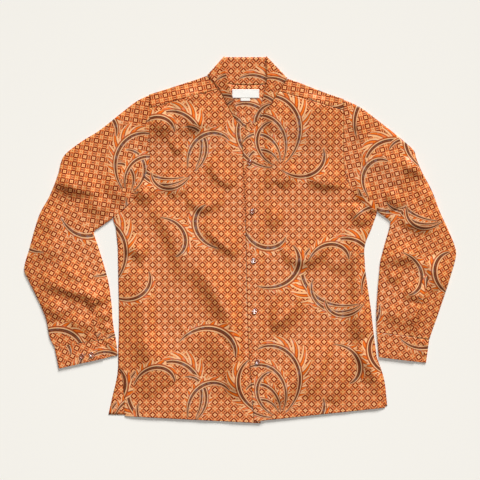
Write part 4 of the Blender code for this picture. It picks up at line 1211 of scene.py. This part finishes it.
# The turned outline, in shares of the radius and the height: the sunk middle, the rim, the edge and the base.
BUTTON_PROFILE = (
    (0, 0.60), (0.30, 0.59), (0.50, 0.60), (0.57, 0.68), (0.64, 0.90), (0.70, 0.98), (0.80, 1),
    (0.89, 0.98), (0.95, 0.86), (0.99, 0.62), (1, 0.45), (0.96, 0.24), (0.86, 0.08), (0.74, 0), (0, 0),
)
BUTTON_SIDES = 56
HOLE_SIDES = 16
HOLE_RADIUS = 0.75
AMBER_RAMP = ((0.32, "6A2A16"), (0.70, "BE6A44"))
HOLE_PITCH = 1.5
SHARP_ANGLE = 38.0

cast_polyester, tree, shader = new_material("cast_polyester_polished", {
    "Roughness": 0.20, "IOR": 1.57, "Coat Weight": 1.0, "Coat Roughness": 0.12,
})
place = add(tree, "ShaderNodeTexCoord").outputs["Object"]
clouds = add(tree, "ShaderNodeTexNoise", {"Vector": place, "Scale": 190.0, "Detail": 4.0, "Distortion": 1.6})
amber = add(tree, "ShaderNodeValToRGB", [clouds.outputs["Fac"]])
for stop, (position, hex_code) in zip(amber.color_ramp.elements, AMBER_RAMP):
    stop.position = position
    stop.color = linear(hex_code)
tree.links.new(amber.outputs[0], shader.inputs["Base Color"])


def collect(name, mesh, material, node=None, smooth=True):
    """A finished piece from a mesh in mm, which rides on the shirt and may stand for a solid."""
    mesh.transform(((MM, 0, 0, 0), (0, MM, 0, 0), (0, 0, MM, 0), (0, 0, 0, 1)))
    if smooth:
        mesh.shade_smooth()
    mesh.materials.clear()
    mesh.materials.append(material)
    piece = bpy.data.objects.new(name, mesh)
    bpy.context.scene.collection.objects.link(piece)
    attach(piece, "root")
    if node:
        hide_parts(node)
    return piece


def button_form():
    """A turned button with a raised rim, a sunk middle and four holes, its base on z = 0, in mm."""
    points = [(x * BUTTON_RADIUS, 0.0, z * BUTTON_HEIGHT) for x, z in BUTTON_PROFILE]
    outline = bpy.data.meshes.new("button_profile")
    outline.from_pydata(points, [(i, i + 1) for i in range(len(points) - 1)], [])
    turned = bpy.data.objects.new("button_turned", outline)
    bpy.context.scene.collection.objects.link(turned)
    screw = turned.modifiers.new("turn", "SCREW")
    screw.steps = screw.render_steps = BUTTON_SIDES
    screw.use_merge_vertices = True
    screw.merge_threshold = 0.001
    drills = []
    for i in range(4):
        angle = math.pi / 4 + i * math.pi / 2
        bpy.ops.mesh.primitive_cylinder_add(
            vertices=HOLE_SIDES, radius=HOLE_RADIUS, depth=4 * BUTTON_HEIGHT,
            location=(HOLE_PITCH * math.cos(angle), HOLE_PITCH * math.sin(angle), 0.0),
        )
        drills.append(bpy.context.object)
        cut = turned.modifiers.new("hole", "BOOLEAN")
        cut.operation = "DIFFERENCE"
        cut.object = drills[-1]
    graph = bpy.context.evaluated_depsgraph_get()
    mesh = bpy.data.meshes.new_from_object(turned.evaluated_get(graph))
    for spare in (turned, *drills):
        bpy.data.objects.remove(spare)
    return mesh


BUTTONS = (
    # node, lean about x and about y in degrees, as the stitching holds each one
    ("button_front_1", -2.0, -2.5), ("button_front_2", -1.5, 2.0), ("button_front_3", 0.3, -0.3),
    ("button_front_4", -2.5, 0.5), ("button_front_5", -1.5, 3.0), ("button_cuff_1", 0.8, -0.4),
    ("button_cuff_2", -2.0, -3.0),
)
button_mesh = button_form()
button_spots = {}
for node, lean_x, lean_y in BUTTONS:
    low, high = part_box(node)
    middle = Vector(((low.x + high.x) / 2, (low.y + high.y) / 2, low.z)) / MM
    button_spots[node] = middle
    mesh = button_mesh.copy()
    slope_x, slope_y = math.tan(math.radians(lean_y)), math.tan(math.radians(lean_x))
    for vertex in mesh.vertices:
        vertex.co.z += slope_x * vertex.co.x + slope_y * vertex.co.y
        vertex.co += middle
    mesh.shade_smooth()
    mesh.set_sharp_from_angle(angle=math.radians(SHARP_ANGLE))
    collect("sewn_" + node, mesh, cast_polyester, node, smooth=False)
bpy.data.meshes.remove(button_mesh)


# Sewing: topstitching in brown thread along the lap, hems, collar, cuffs and yoke seams, buttonholes worked
# in the same thread, and the crosses that hold the buttons. A stitch is 2.6 mm long.
THREAD_DARK_HEX = "7A3A1C"
THREAD_LIGHT_HEX = "A65E34"
STITCH = 2.6
STITCH_PITCH = 3.1
STITCH_RADIUS = 0.24
STITCH_SUNK = 0.10
STITCH_CROWN = 0.55
STITCH_FLAT = 0.6
STRAND_SIDES = 6
STRAND_END = 0.45
# Seams: how far the stitches lie from the edges, where a line starts and ends, and its points.
LAP_STITCH = 6.0
HEM_DEPTH = 16.0
HEM_POINTS = 70
HEM_ENDS = 0.012
HEIGHT_STEP = 4.0
VENT_STITCH = 8.0
LAP_SEAM = (212.0, -378.0)
VENT_RIGHT = (-262.0, -366.0)
VENT_LEFT = (-270.0, -348.0)
HEM_SHOWN = 20.0
YOKE_STITCH = 3.0
YOKE_POINTS = 40
YOKE_ENDS = 0.03
EDGE_INSET = 2
# Buttonholes: height and width of the whipping, and the pitch, slant and rise of its stitches.
BUTTONHOLE = (13.5, 1.5)
HOLE_HALF = 0.45
HOLE_DROP = 1.0
WHIP_PITCH = 0.62
WHIP_RADIUS = 0.26
WHIP_SLANT = 0.25
WHIP_LOW = 0.15
WHIP_TOP = 0.22
# Crosses in the buttons' holes, two strands each way.
THREAD_RADIUS = 0.32
CROSS_RISE = 0.55
CROSS_SPLIT = 0.26
CROSS_LOW = 0.4
CROSS_TOP = 0.1

sewing_thread, tree, shader = new_material("spun_polyester_thread", {"Roughness": 0.7})
place = add(tree, "ShaderNodeTexCoord").outputs["Object"]
twist = add(tree, "ShaderNodeTexWave", {"Vector": place, "Scale": 900.0, "Distortion": 1.0},
            bands_direction="DIAGONAL")
fibre = add(tree, "ShaderNodeMix",
            {0: twist.outputs["Fac"], 6: linear(THREAD_DARK_HEX), 7: linear(THREAD_LIGHT_HEX)},
            data_type="RGBA")
tree.links.new(fibre.outputs[2], shader.inputs["Base Color"])


def strand(points, radius):
    """Points and faces of a thread in mm through the points, with narrowed, closed ends."""
    made, faces = [], []
    count, sides = len(points), STRAND_SIDES
    for i, point in enumerate(points):
        run = Vector(points[min(count - 1, i + 1)]) - Vector(points[max(0, i - 1)])
        aside = run.cross(Vector((0.0, 0.0, 1.0)))
        aside = aside.normalized() if aside.length > 1e-6 else Vector((1.0, 0.0, 0.0))
        upward = aside.cross(run).normalized()
        thin = STRAND_END if i in (0, count - 1) else 1.0
        for k in range(sides):
            angle = 2 * math.pi * k / sides
            made.append(Vector(point) + (aside * math.cos(angle) + upward * math.sin(angle)) * radius * thin)
    for i in range(count - 1):
        for k in range(sides):
            a, b = i * sides + k, i * sides + (k + 1) % sides
            faces.append((a, b, b + sides, a + sides))
    faces.append(tuple(range(sides))[::-1])
    faces.append(tuple(range((count - 1) * sides, count * sides)))
    return made, faces


def threads(name, runs, radius=STITCH_RADIUS, material=sewing_thread):
    """One piece of sewing thread from many short strands."""
    points, faces = [], []
    for run in runs:
        made, ring_faces = strand(run, radius)
        faces += [tuple(v + len(points) for v in face) for face in ring_faces]
        points += made
    mesh = bpy.data.meshes.new(name)
    mesh.from_pydata(points, [], faces)
    collect(name, mesh, material)


def on_left(x, y):
    return (x, y, left_height(x, y) + WALL / 2)


def on_right(x, y):
    return (x, y, right_height(x, y) + WALL / 2)


def raised(line, rise):
    return [(x, y, z + rise) for x, y, z in line]


def stitched(line):
    """Short runs of thread along a line of points in mm, one for each stitch."""
    runs, travelled, due = [], 0.0, STITCH_PITCH
    low = Vector((0.0, 0.0, STITCH_RADIUS + STITCH_SUNK))
    top = Vector((0.0, 0.0, STITCH_RADIUS * STITCH_CROWN))
    for a, b in zip(line, line[1:]):
        a, b = Vector(a), Vector(b)
        length = (b - a).length
        while travelled + length >= due:
            point = a.lerp(b, (due - travelled) / length)
            heading = (b - a).normalized() * STITCH / 2
            runs.append([point - heading - low, point - heading * STITCH_FLAT + top,
                         point + heading * STITCH_FLAT + top, point + heading - low])
            due += STITCH_PITCH
        travelled += length
    return runs


def down(top, bottom):
    """Heights y from top to bottom in even steps."""
    count = max(2, round((top - bottom) / HEIGHT_STEP))
    return [top + (bottom - top) * i / count for i in range(count + 1)]


def hem_line(side, inner, on_cloth):
    """The stitched line of a front's hem, from its inner edge to the side."""
    line = []
    for i in range(HEM_POINTS + 1):
        x, y = mix(inner[-1], side[-1], HEM_ENDS + (1.0 - 2 * HEM_ENDS) * i / HEM_POINTS)
        line.append(on_cloth(x, y + HEM_DEPTH))
    return line


seam_runs = stitched([on_left(x_on(LAP_EDGE[1:], y) + LAP_STITCH, y) for y in down(*LAP_SEAM)])
seam_runs += stitched(hem_line(SIDE_LEFT, LAP_EDGE, on_left))
seam_runs += stitched([on_left(x_on(SIDE_LEFT, y) - VENT_STITCH, y) for y in down(*VENT_LEFT)])
threads("topstitching_front_left", seam_runs)
seam_runs = stitched([p for p in hem_line(SIDE_RIGHT, UNDER_EDGE, on_right) if p[0] < HEM_SHOWN])
seam_runs += stitched([on_right(x_on(SIDE_RIGHT, y) + VENT_STITCH, y) for y in down(*VENT_RIGHT)])
threads("topstitching_front_right", seam_runs)

seam_runs = []
for armhole, neck, on_cloth in ((ARMHOLE_RIGHT, NECK_RIGHT, on_right), (ARMHOLE_LEFT, NECK_LEFT, on_left)):
    start, end = along(armhole, ARMHOLE_SHARES[YOKE_FRONT_ROW]), neck[NECK_YOKE_POINT]
    shares = [YOKE_ENDS + (1.0 - 2 * YOKE_ENDS) * n / YOKE_POINTS for n in range(YOKE_POINTS + 1)]
    line = [mix(start, end, share) for share in shares]
    seam_runs += stitched([on_cloth(x, y - YOKE_STITCH) for x, y in line])
threads("topstitching_yoke_seams", seam_runs)

seam_runs = []
for grid in cuff_grids.values():
    rows = grid[EDGE_INSET:-EDGE_INSET]
    lines = [rows[-1][1:CUFF_STEPS - 1], rows[0][1:CUFF_STEPS - 1], [row[EDGE_INSET] for row in rows]]
    for line in lines:
        seam_runs += stitched(raised(line, CUFF_WALL / 2))
threads("topstitching_cuffs", seam_runs)

seam_runs = []
for rows in (collar_grid[:wing_rows], collar_grid[-wing_rows:]):
    for column in (1, COLLAR_ACROSS - 1):
        seam_runs += stitched(raised([row[column] for row in rows[1:-1]], COLLAR_WALL / 2))
turned_rows = wing_rows + FOLD_STEPS - 1
back_rows = collar_grid[turned_rows:-turned_rows]
seam_runs += stitched(raised([row[-2] for row in back_rows], COLLAR_WALL / 2))
threads("topstitching_collar", seam_runs)

hole_runs = []
tall, wide = BUTTONHOLE
count = round(tall / WHIP_PITCH)
for node, middle in button_spots.items():
    if "front" not in node:
        continue
    for side in (-1, 1):
        for n in range(count + 1):
            y = middle.y - tall / 2 + tall * n / count - HOLE_DROP
            x = middle.x + side * HOLE_HALF
            ends = [on_left(x, y), on_left(x + side * wide, y + WHIP_SLANT)]
            top, low = raised(ends, WHIP_TOP), raised(ends, -WHIP_LOW)
            hole_runs.append([low[0], *top, low[1]])
threads("buttonhole_stitches", hole_runs, WHIP_RADIUS)

cross_runs = []
reach = HOLE_PITCH / math.sqrt(2.0)
face_height = BUTTON_HEIGHT * BUTTON_PROFILE[0][1]
for middle in button_spots.values():
    low, top = middle.z - CROSS_LOW, middle.z + face_height
    for pair in (1, -1):
        for shift in (-CROSS_SPLIT, CROSS_SPLIT):
            first, second = [
                (middle.x + way * reach + shift, middle.y + way * pair * reach - pair * shift)
                for way in (-1, 1)
            ]
            cross_runs.append([
                (*first, low), (*first, top + CROSS_TOP),
                (middle.x + shift, middle.y - pair * shift, top + CROSS_RISE),
                (*second, top + CROSS_TOP), (*second, low),
            ])
threads("button_threads", cross_runs, THREAD_RADIUS)


# Label and size tab: bare woven satin tape in off-white polyester, its ends turned under. The label is
# stitched down inside the back neck, and the tab is a folded loop caught under the label's lower edge.
LABEL = (11.8, 307, 57, 18.4)
SIZE_TAB = (11, 294.6, 20, 5.6)
TAPE = 0.4
LABEL_LOW = 1.35
SATIN_HEX = "FFFEFA"
# painted shade: the darker colour put in the grooves between the tape's ribs
SATIN_PAINTED_SHADE_HEX = "EFEAE0"
LABEL_THREAD_HEX = "E9E4D8"
LABEL_STEPS = (12, 36)
TAB_STEPS = (18, 12)
# Shares of the tab's length at which its turn begins and ends, and the loop's share of the tab's height.
TAB_TURN = (0.44, 0.56)
TAB_BEND = 0.12
TAB_BOTTOM = 0.43
LABEL_INSET = 1.5
LABEL_POINTS = 20
LABEL_THREAD_RADIUS = 0.18

satin_tape, tree, shader = new_material("woven_satin_tape", {"Roughness": 0.35, "Sheen Weight": 0.2})
place = add(tree, "ShaderNodeTexCoord").outputs["Object"]
satin_threads = add(tree, "ShaderNodeTexWave", {"Vector": place, "Scale": 700.0, "Distortion": 0.4},
                    bands_direction="Y")
# The bands that raise the ribs also paint shade: the colour is darker where the bump is low, in the grooves.
painted_groove_shade = add(tree, "ShaderNodeMix",
           {0: satin_threads.outputs["Fac"], 6: linear(SATIN_PAINTED_SHADE_HEX), 7: linear(SATIN_HEX)},
           data_type="RGBA")
tree.links.new(painted_groove_shade.outputs[2], shader.inputs["Base Color"])
ribs = add(tree, "ShaderNodeBump",
           {"Strength": 0.2, "Distance": 0.0001, "Height": satin_threads.outputs["Fac"]})
tree.links.new(ribs.outputs[0], shader.inputs["Normal"])


def tape_piece(name, grid, node):
    points = [p for row in grid for p in row]
    columns = len(grid[0])
    faces = [
        (i * columns + j, (i + 1) * columns + j, (i + 1) * columns + j + 1, i * columns + j + 1)
        for i in range(len(grid) - 1) for j in range(columns - 1)
    ]
    mesh = bpy.data.meshes.new(name)
    mesh.from_pydata(points, [], faces)
    piece = collect(name, mesh, satin_tape, node)
    shell = piece.modifiers.new("thickness", "SOLIDIFY")
    shell.thickness = TAPE * MM
    shell.offset = 0.0


x, y, width, height = LABEL
rows, columns = LABEL_STEPS
grid = []
for i in range(rows + 1):
    v = i / rows
    row = []
    for j in range(columns + 1):
        u = j / columns
        lifted = 0.35 * (1.0 - math.exp(-min(u, 1.0 - u) * width / 1.5))
        z = LABEL_LOW + TAPE / 2 + lifted + 0.12 * math.sin(9.0 * u + 4.0 * v)
        row.append((x + (u - 0.5) * width, y + (v - 0.5) * height, z))
    grid.append(row)
tape_piece("neck_label", grid[::-1], "label")

x, y, width, height = SIZE_TAB
rows, columns = TAB_STEPS
start, end = TAB_TURN
grid = []
for i in range(rows + 1):
    t = i / rows
    if t < start:
        dy, z = height / 2 - height * 0.93 * t / start, LABEL_LOW + TAPE / 2
    elif t > end:
        dy, z = -height * TAB_BOTTOM + height * 0.93 * (t - end) / 0.44, LABEL_LOW + TAPE * 1.75
    else:
        turn = math.pi * (t - start) / TAB_BEND
        dy = -height * TAB_BOTTOM - 0.3 * math.sin(turn)
        z = LABEL_LOW + TAPE / 2 + TAPE * 0.625 * (1.0 - math.cos(turn))
    grid.append([(x + (j / columns - 0.5) * width, y + dy, z) for j in range(columns + 1)])
tape_piece("size_tab_loop", grid, "size_tab")

x, y, width, height = LABEL
corners = ((-1, -1), (1, -1), (1, 1), (-1, 1), (-1, -1))
line = []
for (ax, ay), (bx, by) in zip(corners, corners[1:]):
    for n in range(LABEL_POINTS):
        sx, sy = ax + (bx - ax) * n / LABEL_POINTS, ay + (by - ay) * n / LABEL_POINTS
        line.append((x + sx * (width / 2 - LABEL_INSET), y + sy * (height / 2 - LABEL_INSET),
                     LABEL_LOW + TAPE + 0.3))
# White cotton thread, matt against the satin.
label_thread = new_material("white_cotton_thread", {
    "Base Color": linear(LABEL_THREAD_HEX), "Roughness": 0.8,
})[0]
threads("label_stitches", stitched(line), LABEL_THREAD_RADIUS, label_thread)
